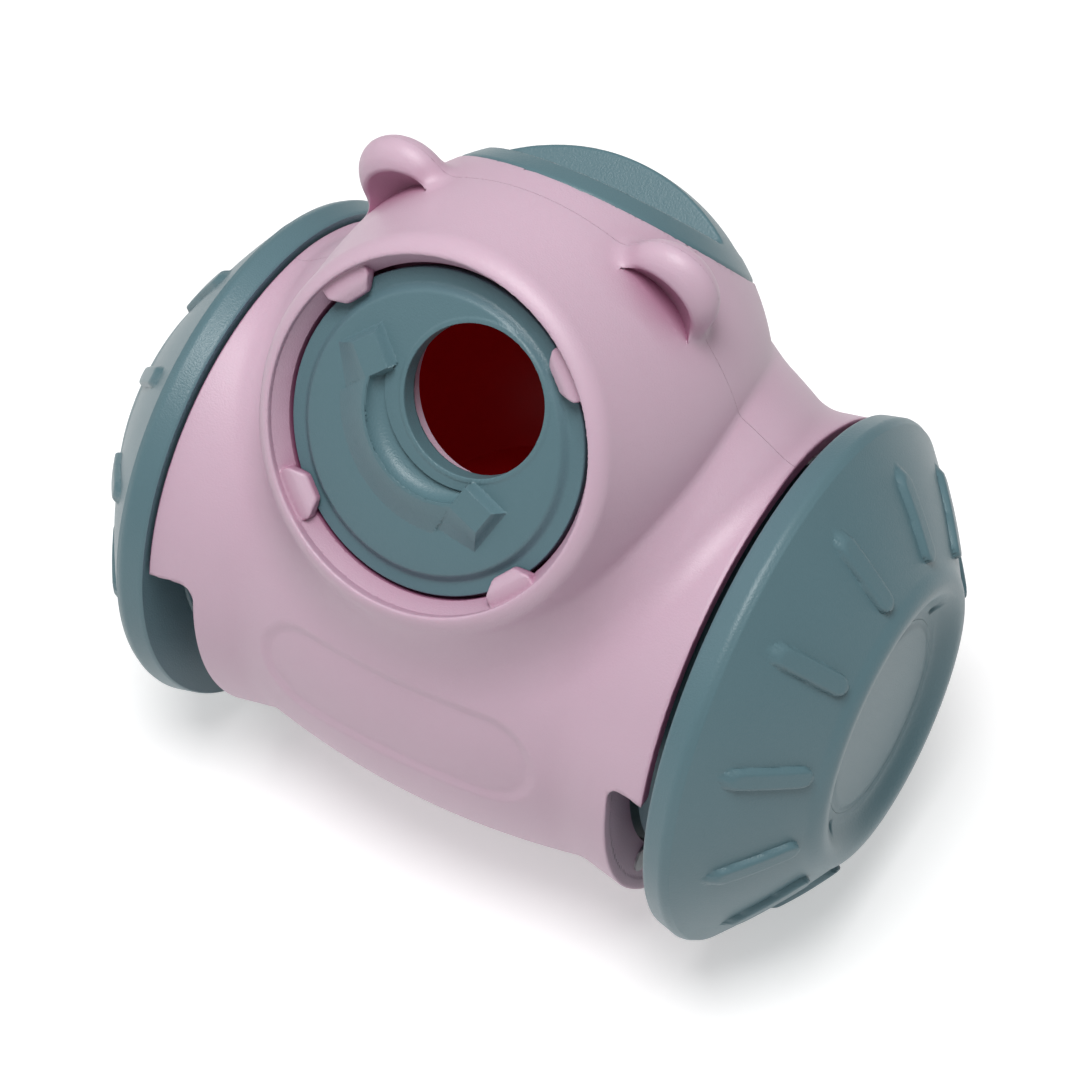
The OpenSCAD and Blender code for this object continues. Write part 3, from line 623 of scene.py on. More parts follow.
def drawn_steel(name, rgb):
    """Bright drawn steel: fine lines along the rod and broad soft reflections."""
    line_mm = 0.4
    along_share = 0.05
    smooth, rough = 0.22, 0.38  # roughness between the lines and in them
    material, tree, place = new_material(name)
    stretch = add_node(tree, "ShaderNodeMapping", [(place, "Vector")], Scale=(along_share, 1.0, 1.0))
    lines = add_node(tree, "ShaderNodeTexNoise", [(stretch.outputs["Vector"], "Vector")],
                     Scale=1 / (line_mm * MM), Detail=3.0)
    gloss = add_node(tree, "ShaderNodeMapRange", [(lines.outputs["Fac"], "Value")],
                     **{"To Min": smooth, "To Max": rough})
    relief = add_node(tree, "ShaderNodeBump", [(lines.outputs["Fac"], "Height")],
                      Strength=0.15, Distance=line_mm * MM)
    shader = add_node(tree, "ShaderNodeBsdfPrincipled",
                      [(gloss.outputs["Result"], "Roughness"), (relief.outputs["Normal"], "Normal")],
                      **{"Metallic": 1.0, "Base Color": shift(rgb, 1.0)})
    add_node(tree, "ShaderNodeOutputMaterial", [(shader.outputs["BSDF"], "Surface")])
    return material


def make_materials():
    """The six finishes of the part."""
    colours = sizes_of("colours")
    # ABS from a spark-eroded mould: soft satin sheen, with a warmer pink painted into the folds as
    # shade
    MATERIALS["shell"] = moulded_plastic("pink_abs_spark_eroded", colours.pink, grain_mm=0.32,
                                         roughness=0.42, bump=0.16, subsurface=0.12,
                                         deep=colours.pink_painted_shade)
    # The same ABS in grey, a little smoother, with duller highlights
    MATERIALS["wheel"] = moulded_plastic("grey_abs_spark_eroded", colours.grey, grain_mm=0.34,
                                         roughness=0.36, bump=0.22, specular=0.4)
    # Polypropylene from a polished mould: smooth, with a faint painted glow of its own red in place of
    # the light that its thin wall lets in
    MATERIALS["chamber"] = moulded_plastic("red_polypropylene_moulded", colours.red, grain_mm=0.5,
                                           roughness=0.34, bump=0.05, glow=0.02)
    # Acetal turned to size: waxy white with a soft sheen
    MATERIALS["bearing"] = moulded_plastic("natural_acetal_turned", colours.acetal, grain_mm=0.5,
                                           roughness=0.36, bump=0.04)
    # Moulded silicone rubber: milky and dull, with light that spreads inside it
    MATERIALS["silicone"] = moulded_plastic("silicone_rubber_moulded", colours.silicone,
                                            grain_mm=0.6, roughness=0.5, bump=0.05, subsurface=0.2)
    # Drawn steel: bright, with lines along the rod
    MATERIALS["steel"] = drawn_steel("bright_drawn_steel", colours.steel)


# The body's shells

def barrel_radius(across, s):
    """Radius of the barrel: a bulging belly that bends at the waist into a straight flare."""
    middle = s.belly_r - (s.belly_r - s.waist_r) * (across / s.waist_x) ** 2
    flare = s.waist_r + (s.flange_r - s.waist_r) * (across - s.waist_x) / (s.half - s.waist_x)
    return soft_max(middle, flare, s.waist_soft)


def oval_field(x, y, z, half_x, radius):
    """An oval turned about X."""
    k0 = np.sqrt((x / half_x) ** 2 + (y * y + z * z) / radius ** 2)
    k1 = np.sqrt((x / half_x ** 2) ** 2 + (y * y + z * z) / radius ** 4)
    return k0 * (k0 - 1) / np.maximum(k1, TINY)


def body_form(s, snout):
    """Ball, barrel, the slanted shoulder between them and the snout, as one open-ended form."""
    grow_from, grow_to = -16, 12  # where the shoulder starts and ends to grow, from front to back
    to_snout = turned_frame(DIAL_AXIS, s.cross_z)

    def form(x, y, z):
        barrel = np.hypot(y, z) - barrel_radius(np.abs(x), s)
        ball = oval_field(x, y - s.ball_y, z - s.ball_z, s.ball_x, s.ball_r)
        more = s.shoulder_back * ramp(y, grow_from, grow_to)
        slant = (ball + barrel - s.shoulder - more) * SQRT_HALF
        body = soft_min(soft_min(barrel, slant, s.shoulder_soft), ball, s.fold_soft)
        right, up, out = to_snout(x, y, z)
        tube = round_cut(np.hypot(right, up) - snout.lip_r, out - snout.lip_top, snout.lip_round)
        return fillet_join(body, np.maximum(tube, -out), snout.fillet)
    return form


def ear_fields(s, body):
    """A pair of fat rounded ears, and the scoops that open their fronts down to the ball."""
    flat_y, flat_round = 0.7, 1.2  # where the flat front of an ear lies, and its rounding
    scoop_round = 0.7
    front_y = body.seam_y - s.front

    def place(x, z):
        across, lift = np.abs(x), z - body.cross_z
        out = across * math.sin(s.lean) + lift * math.cos(s.lean) - (s.reach - s.radius)
        return across * math.cos(s.lean) - lift * math.sin(s.lean), out

    def solid(x, y, z):
        side, out = place(x, z)
        fat = oval_field(y - front_y - s.thick / 2, side, out, s.thick / 2, s.radius)
        fat = round_cut(fat, front_y + flat_y - y, flat_round)
        return round_cut(fat, -hollow(x, y, z), scoop_round)

    def hollow(x, y, z):
        side, out = place(x, z)
        return oval_field(y - front_y, side, out + s.drop, s.scoop_in, s.scoop)
    return solid, hollow


def tab_fields(s):
    """The four tabs over the dial, and the mould's blind slots beside them."""
    slot_in, slot_half, slot_depth = 0.2, 1.1, 1.3  # the slot's place, half length and half depth
    root, corner = 1.2, 2.2  # how far a tab stops inside the lip, and its corner bevel
    nose, steep, to_mm = 1.5, 1.6, 0.53  # its sloping nose: run, slope and the slope's unit length
    side_round, corner_round, nose_round = 0.4, 0.35, 0.3
    tab_cos, tab_sin = math.cos(s.tab_angle), math.sin(s.tab_angle)
    middle, half_thick = (s.tab_low + s.tab_top) / 2, (s.tab_top - s.tab_low) / 2

    def fields(right, up, out):
        fold_right, fold_up = np.abs(right), np.abs(up)
        reach = fold_right * tab_cos + fold_up * tab_sin
        side = np.abs(fold_up * tab_cos - fold_right * tab_sin)
        slot = np.maximum(np.abs(reach - s.recess_r + slot_in) - slot_half,
                          side - s.tab_half - s.slot_w)
        slot = np.maximum(slot, np.abs(out - s.recess_base) - slot_depth)
        tab = np.maximum(s.tab_in - reach, np.abs(out - middle) - half_thick)
        tab = round_cut(tab, side - s.tab_half, side_round)
        tab = np.maximum(tab, reach - s.lip_r + root)
        bevel = (s.tab_in - reach + side - s.tab_half + corner) * SQRT_HALF
        tab = round_cut(tab, bevel, corner_round)
        slope = (s.tab_in - reach + (out - s.tab_top) * steep + nose) * to_mm
        return round_cut(tab, slope, nose_round), slot
    return fields


def shell_field():
    """The whole hollow body with everything that is cut into it and stands on it."""
    s, ears, panel, snout, dial, lid = map(sizes_of, ("body", "ears", "panel", "snout", "dial",
                                                      "lid"))
    scoop_stop = 0.02  # what the scoops leave of the ball
    soft_in_share = 0.4  # how far the panel's soft edge runs past its outline
    flange_round, recess_soft, notch_cut, tab_soft = 0.35, 0.8, 0.4, 0.35
    seat_wall, flare_most = 6, 1.4  # ring that carries the ledge, and where the lip's flare stops
    slot_spare, slot_high = 1, 4  # room about a lug, and the reach of its slot
    form = body_form(s, snout)
    ear, ear_scoop = ear_fields(ears, s)
    tabs = tab_fields(snout)
    to_snout, to_lid = turned_frame(DIAL_AXIS, s.cross_z), turned_frame(LID_AXIS, s.cross_z)
    hole_right = dial.hole_off * math.cos(dial.hole_angle)
    hole_up = dial.hole_off * math.sin(dial.hole_angle)

    def field(x, y, z):
        across = np.abs(x)
        plain = form(x, y, z)
        right, up, out = to_snout(x, y, z)
        turned = np.hypot(right, up)
        lid_right, lid_up, lid_out = to_lid(x, y, z)
        lid_turned = np.hypot(lid_right, lid_up)
        # Outside: ears, belly panel, flange ends
        outer = soft_min(plain, ear(x, y, z), ears.foot)
        outer = subtract(outer, np.maximum(ear_scoop(x, y, z), scoop_stop - plain))
        beyond = np.maximum(across - (panel.width - panel.height) / 2, 0)
        stadium = np.hypot(beyond, z - panel.middle_z) - panel.height / 2
        sink = panel.depth * (1 - ramp(stadium, -panel.soft, panel.soft * soft_in_share))
        outer = outer + sink * (y < 0)
        outer = round_cut(outer, np.abs(x + s.lead) - s.half, flange_round)
        # Hollow inside, with the wall behind the dial and the ledge under the lid left standing
        back = np.maximum(turned - snout.lip_r, snout.back_base - out)
        seat = np.maximum(lid_turned - lid.radius - seat_wall, lid.ledge_base - lid_out)
        ring_wall = np.maximum(np.maximum(s.end_x - across, across - s.flange_x),
                               s.end_r - np.hypot(y, z))
        inner = np.maximum(plain + s.wall, -np.minimum(np.minimum(back, seat), ring_wall))
        shell = subtract(outer, inner)
        # The dial's recess, its outlet, and the lid's pocket with slots for the lugs
        opening = snout.recess_r + snout.flare * np.clip((out - snout.flare_low) / snout.flare_h,
                                                         0, flare_most)
        recess = np.maximum(turned - opening, snout.recess_base - out)
        shell = soft_max(shell, -recess, recess_soft)
        outlet = np.hypot(right - hole_right, up - hole_up) - dial.hole_r - dial.slack
        shell = subtract(shell, np.maximum(outlet, -out))
        shell = subtract(shell, np.maximum(lid_turned - lid.radius - lid.gap,
                                           lid.ledge_top - lid_out))
        shell = subtract(shell, np.maximum(lid_turned - lid.ledge_hole, -lid_out))
        for reach, side in thirds(lid_right, lid_up):
            long = np.maximum(reach - lid.plug_r - lid.lug_out - slot_spare, -reach)
            wide = np.maximum(side - lid.lug_w / 2 - slot_spare,
                              np.abs(lid_out - lid.ledge_base) - slot_high)
            shell = subtract(shell, np.maximum(long, wide))
        notch = round_cut(s.flange_x - across, z - s.notch_z, s.notch_round)
        shell = round_cut(shell, -notch, notch_cut)
        tab, slot = tabs(right, up, out)
        return soft_min(subtract(shell, slot), tab, tab_soft)
    return field


class ROLLER_OT_shells(bpy.types.Operator):
    """Builds the two pink shells and the line where they meet"""
    bl_idname = "roller.shells"
    bl_label = "Body shells"

    def execute(self, context):
        s = sizes_of("body")
        whole = shell_field()
        fine, coarse = ((0.5, 0.7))
        left, right, front, back, low, top = -48, 47.1, -47, 48, -46, 86  # the grid's ends
        ball_half, ball_low, ball_back = 31, 24, 34  # the finer grid about the ball and snout
        seam_front, seam_back = 2.3, 5  # how far each half's grid runs past the seam
        across = stations((left, -ball_half, coarse), (-ball_half, ball_half, fine),
                          (ball_half, right, coarse))
        heights = stations((low, ball_low, coarse), (ball_low, top, fine))
        halves = (("front_shell", 1, stations((front, seam_back, fine))),
                  ("rear_shell", -1, stations((seam_front, ball_back, fine),
                                              (ball_back, back, coarse))))
        for node, side, depths in halves:
            def half(x, y, z):
                return np.maximum(whole(x, y, z), (y - s.seam_y) * side + s.seam_gap / 2)
            piece = make_piece("body_" + node, *surface_net(half, (across, depths, heights)))
            dress(piece, "shell", "body", "shell_plastic", node)
        return {"FINISHED"}


# Outlet dial

def dial_field():
    """The dial with its hole, collar, raised middle and grip, about the snout's own axis."""
    s = sizes_of("dial")
    step_in, step_w, step_round = 0.9, 2.1, 1.0  # slope at the edge of the raised middle
    collar_w, collar_round = 0.5, 0.7
    crest_half, run_in, past_end = 0.5, 0.35, 1.3  # flat of the crest, groove's edge, arc's end
    foot_round, pad_round, wall_round = 0.1, 0.3, 0.2
    inner_w, tip_w, wall_w = 0.9, 1.3, 0.7  # widths of a pad's inner, end and groove-side slopes
    narrowing, narrow_most = 0.25, 8  # how the pad's outer slope narrows along it
    rim_w = 1.4  # rim left around the hollow underneath
    even_slope = 0.62  # keeps the field's own slope below 1 on the grip's flanks
    edge_round, rim_round = 0.2, 0.3
    depth = s.grip_h + s.groove
    end = (-s.grip_end_r * math.cos(s.grip_half), s.grip_end_r * math.sin(s.grip_half))
    heading = math.pi / 2 - s.grip_half + s.pad_turn
    aim = (math.cos(heading), math.sin(heading))

    def plain(p, q):
        """Height of the face without its grip."""
        turned = np.hypot(p, q)
        height = s.face + s.rise * edge_slope(turned - s.middle_r + step_in, step_w, step_round)
        height = height + s.dome * np.clip(1 - (turned / s.middle_r) ** 2, 0, 1)
        about = np.hypot(p - s.hole_off, q)
        return height + s.collar_h * edge_slope(about - s.collar_r, collar_w, collar_round)

    def arc(p, q):
        """Height of the grip's arc: a slope up to the crest, then a hollow side to the groove."""
        about = np.hypot(p, q)
        spread = np.clip(np.arctan2(q, -p) / s.grip_half, 0, past_end)
        crest = s.grip_r - (s.grip_r - s.grip_end_r) * spread ** 2
        foot = s.grip_foot_r - s.grip_foot_end * spread ** 2
        outer = s.grip_h * edge_slope((about - crest) / (foot - crest), 1, foot_round)
        near = np.clip((about - s.grip_in) / (crest - crest_half - s.grip_in), 0, 1)
        valley = depth * (1 - np.sqrt(1 - near ** 2)) - s.groove
        valley = np.where(valley < 0, valley * np.clip((about - s.grip_in) / run_in, 0, 1), valley)
        return np.where(about > crest, outer, valley) * (spread < past_end)

    def relief(p, q):
        """Height of the whole face: flat pads with a wide slope outside close the arc's ends."""
        hp, hq = p - s.hole_off, np.abs(q - s.grip_shift)
        ep, eq = hp - end[0], hq - end[1]
        along = ep * aim[0] + eq * aim[1]
        inward = ep * aim[1] - eq * aim[0]
        foot_w = s.grip_foot_r - s.grip_foot_end - s.grip_end_r
        foot_w = foot_w - narrowing * np.clip(along, 0, narrow_most)
        pad = np.minimum(edge_slope(-inward / foot_w, 1, foot_round),
                         edge_slope(inward - s.pad_w, inner_w, pad_round))
        pad = s.grip_h * np.minimum(pad, edge_slope(along - s.pad_l, tip_w, pad_round))
        wall = depth * edge_slope(-along, wall_w, wall_round) - s.groove
        wall = np.where((inward > 0) & (inward < s.pad_w), wall, -s.groove)
        return plain(p, q) + np.where(along > 0, pad, np.maximum(arc(hp, hq), wall))

    def field(p, q, out):
        turned = np.hypot(p, q)
        plate = round_cut(turned - s.radius, s.base - out, rim_round)
        plate = round_cut(plate, (out - relief(p, q)) * even_slope, edge_round)
        plate = subtract(plate, np.maximum(turned - s.middle_r + rim_w, out - s.under))
        return round_cut(plate, s.hole_r - np.hypot(p - s.hole_off, q), edge_round)
    return field


class ROLLER_OT_dial(bpy.types.Operator):
    """Builds the grey outlet dial"""
    bl_idname = "roller.dial"
    bl_label = "Outlet dial"

    def execute(self, context):
        fine, fine_up = ((0.36, 0.288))
        half, low, top = 26.2, 26.8, 34.2
        disc = stations((-half, half, fine))
        heights = stations((low, top, fine_up))
        piece = turned_piece("dial", dial_field(), (disc, disc, heights), DIAL_AXIS,
                             sizes_of("dial").hole_angle)
        dress(piece, "wheel", "dial", "wheel_plastic", "outlet_dial")
        return {"FINISHED"}


# Fill lid

def lid_field():
    """The lid with its bevelled band, grip bar between two scoops, plug and lugs."""
    s, body = sizes_of("lid"), sizes_of("body")
    rim_round, under_round, bowl_round, bar_round, band_round = 0.4, 0.3, 2.5, 1.6, 0.5
    bowl_high, bowl_draft = 2, 0.25  # height where the bowl has the band's radius, and its draft
    bar_high, bar_draft = 6, 0.12  # height where the bar has its own width, and its draft
    plug_in = 1  # how far the plug reaches into the lid
    up_axis, out_axis = axis_frame(LID_AXIS)

    def field(right, up, out):
        y = up * up_axis[1] + out * out_axis[1]
        z = up * up_axis[2] + out * out_axis[2] + body.cross_z
        dome = oval_field(right, y - body.ball_y, z - body.ball_z, body.ball_x, body.ball_r)
        turned = np.hypot(right, up)
        plate = round_cut(dome, turned - s.radius, rim_round)
        plate = round_cut(plate, s.base - out, under_round)
        bowl = round_cut(turned - s.band_r + (s.floor + bowl_high - out) * bowl_draft,
                         s.floor - out, bowl_round)
        bar = np.abs(up) - s.bar_half - (s.floor + bar_high - out) * bar_draft
        plate = round_cut(plate, -round_cut(bowl, -bar, bar_round), band_round)
        plug_hole = s.plug_r - s.plug_wall - turned
        plug = np.maximum(turned - s.plug_r, plug_hole)
        plug = np.maximum(plug, np.maximum(s.plug_base - out, out - s.base - plug_in))
        lid = np.minimum(plate, plug)
        for reach, side in thirds(right, up):
            lug = np.maximum(np.maximum(reach - s.plug_r - s.lug_out, plug_hole),
                             np.maximum(side - s.lug_w / 2, -reach))
            lug = np.maximum(lug, np.maximum(s.lug_base - out, out - s.lug_top))
            lid = np.minimum(lid, lug)
        return lid
    return field


class ROLLER_OT_lid(bpy.types.Operator):
    """Builds the grey fill lid"""
    bl_idname = "roller.lid"
    bl_label = "Fill lid"

    def execute(self, context):
        fine = 0.42
        half, low, top = 26.3, 20.9, 42.2
        disc = stations((-half, half, fine))
        heights = stations((low, top, fine))
        piece = turned_piece("lid", lid_field(), (disc, disc, heights), LID_AXIS)
        dress(piece, "wheel", "lid", "wheel_plastic", "fill_lid")
        return {"FINISHED"}


# Wheels

def wheel_face(r, s):
    """Place along the axle of the wheel's face at a radius, without ribs."""
    past_ring = 1.3  # how far past the ring the cone's line is followed
    lip_w = 0.6  # flat crest before the fall into the groove
    t = np.clip((s.radius - r) / (s.radius - s.ring_r), 0, past_ring)
    cone = s.crease_x + (s.ring_x - s.crease_x) * t + s.bulge * np.sin(math.pi * np.clip(t, 0, 1))
    near = np.clip((s.ring_r - r) / (s.ring_r - s.crest_r), 0, 1)
    climb = s.ring_x + (s.crest_x - s.ring_x) * np.sin(math.pi / 2 * near)
    fall = (s.crest_x - s.groove_x) * ramp(-r, -s.crest_r + lip_w, -s.groove_r)
    return np.where(r > s.ring_r, cone, climb - fall)


def face_x(r, s):
    """The same place for one radius."""
    return float(wheel_face(np.array(r), s))


def rib_height(r, turn, s):
    """Height of the ribs above the face: long pads with rounded edges."""
    edge = 0.75
    pitch = 2 * math.pi / s.ribs
    off = (turn - s.rib_phase + pitch / 2) % pitch - pitch / 2
    along = r * np.cos(off)
    past = np.maximum(s.rib_in + s.rib_w / 2 - along, along - s.rib_out + s.rib_w / 2)
    away = np.hypot(r * np.sin(off), np.maximum(past, 0)) - s.rib_w / 2
    return s.rib_h * np.sqrt(np.clip(1 - np.clip((away + edge) / edge, 0, 1) ** 2, 0, 1))


def dimple_depth(r, turn, s):
    """Depth of the two round dimples beside the hub's dish."""
    depth, radius, flat_share = 0.6, 1.3, 0.45
    deep = 0
    for k in (0, math.pi):
        off = turn - s.dimple_turn - k
        away = np.hypot(r * np.sin(off), r * np.cos(off) - s.dimple_r)
        deep = deep + depth * (1 - ramp(away, radius * flat_share, radius))
    return deep


def build_wheel(name, side, s):
    """One domed wheel: ribbed face, rim, skirt and hollow inside."""
    step, rib_spokes = ((0.45, 72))
    bore_r, tube_r = 5.0, 8.0
    cap_gap = 0.03
    rounding = 0.55  # of the crease between face and rim
    bevel = 0.3
    crease_steps = ((0.3, 0.1), (0.1, 0.45), (0, 1.1))  # its rounding: in from the rim, and back
    edge_out, edge_ahead, edge_in, edge_far = 0.15, 0.25, 0.1, 0.4  # the rim's inner edge
    hollow_r, hollow_x, hollow_edge_x = 28.0, 62.2, 57.0
    hollow_in = 0.5  # how far the hollow's bottom reaches past the pocket
    back_step, inside_step = 3.0, 4.0
    seat_r = s.cap_r + cap_gap
    seat_x = face_x(seat_r, s)
    hub = arc_steps([(bore_r, s.pocket_x), (s.pocket_r, s.pocket_x), (s.pocket_r, s.cap_x),
                     (seat_r, s.cap_x), (seat_r, seat_x - cap_gap), (seat_r + cap_gap, seat_x)],
                    step * 2)
    face_r = np.arange(seat_r + cap_gap + step, s.radius - rounding, step)
    face = [(float(r), face_x(r, s)) for r in face_r]
    rim = [(s.radius - rounding, face_x(s.radius - rounding, s))]
    rim += [(s.radius - inward, s.crease_x - behind) for inward, behind in crease_steps]
    rim += [(s.inner_edge + edge_out, s.rim_x + edge_ahead), (s.inner_edge - edge_in, s.rim_x)]
    back = [(s.inner_edge - edge_far, s.rim_x), (s.skirt_r + bevel, s.rim_x),
            (s.skirt_r, s.rim_x - bevel), (s.skirt_r, s.skirt_x + bevel),
            (s.skirt_r - bevel, s.skirt_x), (s.skirt_r - s.wall, s.skirt_x)]
    inside = [(s.skirt_r - s.wall, hollow_edge_x), (hollow_r, hollow_x),
              (s.cap_r + s.wall, hollow_x), (s.pocket_r + hollow_in, s.pocket_x - s.wall),
              (tube_r, s.pocket_x - s.wall), (tube_r, s.skirt_x), (bore_r, s.skirt_x)]
    section = hub + face + arc_steps(rim, step) + arc_steps(back, back_step)
    r, turn, x = spoke_grid(section + arc_steps(inside, inside_step), s.ribs * rib_spokes)
    rows = slice(len(hub), len(hub) + len(face))
    x[rows] += rib_height(r[rows], turn[rows], s)
    x[rows] -= dimple_depth(r[rows], turn[rows], s)
    return lathe(name, r, turn, x, side, closed=True, sharp=32)


class ROLLER_OT_wheels(bpy.types.Operator):
    """Builds the two domed wheels"""
    bl_idname = "roller.wheels"
    bl_label = "Wheels"

    def execute(self, context):
        for name, side in (("left_wheel", -1), ("right_wheel", 1)):
            piece = build_wheel(name + "_moulding", side, sizes_of("wheel"))
            dress(piece, "wheel", name, "wheel_plastic", name)
        return {"FINISHED"}


class ROLLER_OT_hub_caps(bpy.types.Operator):
    """Builds the dished caps in the wheels' hubs"""
    bl_idname = "roller.hub_caps"
    bl_label = "Hub caps"

    def execute(self, context):
        s = sizes_of("wheel")
        gap, tip_r, web, clip_wall, clip_l, seat_gap = 0.03, 0.02, 0.4, 1.4, 2.4, 0.05
        clip_gap = 0.3
        slope_out, slope_in = 0.3, 1.8  # where the slope to the dish starts and ends, from the edge
        slope_rings, dish_rings, spokes = 7, 14, 160
        edge_x = face_x(s.cap_r + gap, s)
        clip_r, clip_x, seat_x = s.pocket_r - clip_gap, s.cap_x - clip_l, s.cap_x + seat_gap
        section = [(tip_r, s.cap_x + web), (clip_r - clip_wall, s.cap_x + web),
                   (clip_r - clip_wall, clip_x), (clip_r, clip_x), (clip_r, seat_x),
                   (s.cap_r, seat_x), (s.cap_r, edge_x - gap), (s.cap_r - gap, edge_x)]
        for r in np.linspace(s.cap_r - slope_out, s.cap_r - slope_in, slope_rings):
            drop = float(ramp(-r, -s.cap_r + slope_out, -s.cap_r + slope_in))
            section.append((float(r), edge_x + (s.dish_x - edge_x) * drop))
        for r in np.linspace(s.cap_r - slope_in, tip_r, dish_rings)[1:]:
            section.append((float(r), s.dish_x))
        for name, side in (("left", -1), ("right", 1)):
            piece = lathe(name + "_hub_cap_moulding", *spoke_grid(section, spokes), side,
                          closed=False, sharp=35)
            dress(piece, "wheel", name + "_wheel", "wheel_plastic", name + "_hub_cap")
        return {"FINISHED"}


class ROLLER_OT_inner_parts(bpy.types.Operator):
    """Gives the chamber, plates, axle, bushes, seals and screws their finishes"""
    bl_idname = "roller.inner_parts"
    bl_label = "Inner parts"

    def execute(self, context):
        dress_nodes("chamber", "hopper_front", "hopper_rear")
        dress_nodes("wheel", "weight_cover")
        dress_nodes("steel", "axle", "counterweight", "weight_screws")
        dress_nodes("silicone", "dial_seal", "lid_gasket")
        for side in ("left_", "right_"):
            dress_nodes("wheel", side + "end_plate")
            dress_nodes("steel", side + "plate_screws", side + "washer", side + "axle_screw")
            dress_nodes("bearing", side + "spacer", side + "bush")
        return {"FINISHED"}


# Stage

def studio_surface(name, rgb):
    """Matt painted studio floor that the camera sees nearly white, with the soft shadow kept."""
    cloud_mm = 40.0
    tone = 0.01
    lift = 0.42
    material, tree, place = new_material(name)
    cloud = add_node(tree, "ShaderNodeTexNoise", [(place, "Vector")], Scale=1 / (cloud_mm * MM),
                     Detail=2.0)
    tint = add_node(tree, "ShaderNodeMix", [(cloud.outputs["Fac"], 0)], data_type="RGBA",
                    A=shift(rgb, 1 - tone), B=shift(rgb, 1 + tone))
    matt = add_node(tree, "ShaderNodeBsdfDiffuse", [(tint.outputs["Result"], "Color")])
    ray = add_node(tree, "ShaderNodeLightPath")
    seen = add_node(tree, "ShaderNodeMath", [(ray.outputs["Is Camera Ray"], 0),
                                             (ray.outputs["Is Glossy Ray"], 1)], operation="MAXIMUM")
    amount = add_node(tree, "ShaderNodeMath", [(seen.outputs[0], 0)], operation="MULTIPLY")
    amount.inputs[1].default_value = lift
    glow = add_node(tree, "ShaderNodeEmission", [(amount.outputs[0], "Strength")])
    total = add_node(tree, "ShaderNodeAddShader", [(matt.outputs[0], 0), (glow.outputs[0], 1)])
    add_node(tree, "ShaderNodeOutputMaterial", [(total.outputs[0], "Surface")])
    return material


def light_world(strength):
    """Even light from all round, with pure white behind the part."""
    world = bpy.data.worlds.new("studio_world")
    bpy.context.scene.world = world
    world.use_nodes = True
    tree = world.node_tree
    tree.nodes.clear()
    white = (1, 1, 1, 1)
    ray = add_node(tree, "ShaderNodeLightPath")
    plain = add_node(tree, "ShaderNodeBackground", Strength=strength, Color=white)
    behind = add_node(tree, "ShaderNodeBackground", Strength=1.0, Color=white)
    mix = add_node(tree, "ShaderNodeMixShader", [(ray.outputs["Is Camera Ray"], 0),
                                                 (plain.outputs[0], 1), (behind.outputs[0], 2)])
    add_node(tree, "ShaderNodeOutputWorld", [(mix.outputs[0], "Surface")])


def area_light(name, place, size, power):
    """Large soft round light aimed at the part's middle."""
    target = Vector((0, 0, 0.05))
    data = bpy.data.lights.new(name, "AREA")
    data.shape = "DISK"
    data.size = size
    data.energy = power
    lamp = link(name, data)
    lamp.location = place
    lamp.rotation_euler = (target - Vector(place)).to_track_quat("-Z", "Y").to_euler()


def place_camera(eye, focal):
    """Camera that looks down on the part from the front right, as in the photograph."""
    data = bpy.data.cameras.new("camera")
    data.sensor_fit = "HORIZONTAL"
    data.sensor_width = 36.0
    data.lens = focal
    data.clip_start = 0.01
    data.clip_end = 20.0
    camera = link("camera", data)
    back = Vector((0.3668, -0.5689, 0.7361)).normalized()
    right = Vector((0.85, 0.5265, -0.0167))
    right = (right - back * right.dot(back)).normalized()
    turn = Matrix((right, back.cross(right), back)).transposed().to_4x4()
    camera.matrix_world = Matrix.Translation(Vector(eye)) @ turn
    bpy.context.scene.camera = camera


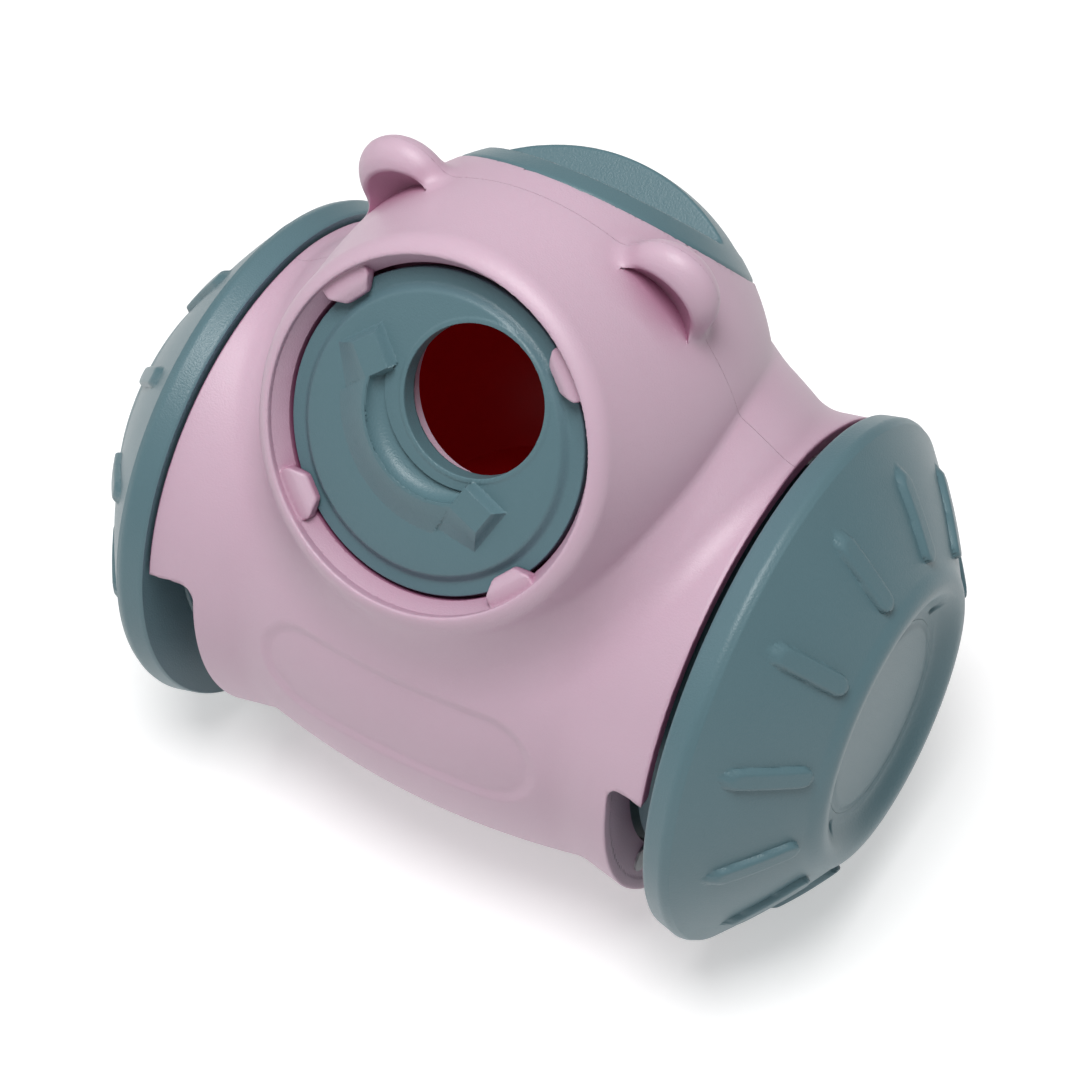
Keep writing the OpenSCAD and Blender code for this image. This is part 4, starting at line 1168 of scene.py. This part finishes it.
class ROLLER_OT_stage(bpy.types.Operator):
    """Sets the floor, the soft light and the camera"""
    bl_idname = "roller.stage"
    bl_label = "Stage"

    def execute(self, context):
        s = context.scene.roller_stage
        mesh = bpy.data.meshes.new("studio_floor")
        reach, steps = 3.0, 8
        edit = bmesh.new()
        bmesh.ops.create_grid(edit, x_segments=steps, y_segments=steps, size=reach)
        edit.to_mesh(mesh)
        edit.free()
        mesh.materials.append(studio_surface("matt_studio_floor", sizes_of("colours").floor))
        link("studio_floor", mesh)
        light_world(s.world)
        area_light("key_softbox", (0.05, -0.2, 0.95), 0.5, s.key)
        area_light("fill_softbox", (-0.75, -0.3, 0.5), 0.6, s.fill)
        place_camera(s.eye, s.focal)
        context.scene.view_settings.view_transform = "Standard"
        return {"FINISHED"}


class ROLLER_PT_panel(bpy.types.Panel):
    """Lists the steps that build the part"""
    bl_idname = "ROLLER_PT_panel"
    bl_label = "Treat roller"
    bl_space_type = "VIEW_3D"
    bl_region_type = "UI"
    bl_category = "Treat roller"

    def draw(self, context):
        for operator in OPERATORS:
            self.layout.operator(operator.bl_idname)
        for attribute, group in GROUPS:
            box = self.layout.box()
            box.label(text=attribute)
            for key in group.__annotations__:
                box.prop(getattr(context.scene, attribute), key)


GROUPS = (("roller_body", BodySizes), ("roller_ears", EarSizes), ("roller_panel", PanelSizes),
          ("roller_snout", SnoutSizes), ("roller_dial", DialSizes), ("roller_lid", LidSizes),
          ("roller_wheel", WheelSizes), ("roller_colours", FinishColours),
          ("roller_stage", StageSizes))
OPERATORS = (ROLLER_OT_shells, ROLLER_OT_dial, ROLLER_OT_lid, ROLLER_OT_wheels,
             ROLLER_OT_hub_caps, ROLLER_OT_inner_parts, ROLLER_OT_stage)


def register():
    for attribute, group in GROUPS:
        bpy.utils.register_class(group)
        setattr(bpy.types.Scene, attribute, bpy.props.PointerProperty(type=group))
    for item in OPERATORS + (ROLLER_PT_panel,):
        bpy.utils.register_class(item)


def unregister():
    for item in reversed(OPERATORS + (ROLLER_PT_panel,)):
        bpy.utils.unregister_class(item)
    for attribute, group in reversed(GROUPS):
        delattr(bpy.types.Scene, attribute)
        bpy.utils.unregister_class(group)


def main():
    register()
    make_materials()
    bpy.ops.roller.stage()
    bpy.ops.roller.shells()
    bpy.ops.roller.dial()
    bpy.ops.roller.lid()
    bpy.ops.roller.wheels()
    bpy.ops.roller.hub_caps()
    bpy.ops.roller.inner_parts()


if __name__ == "__main__":
    main()
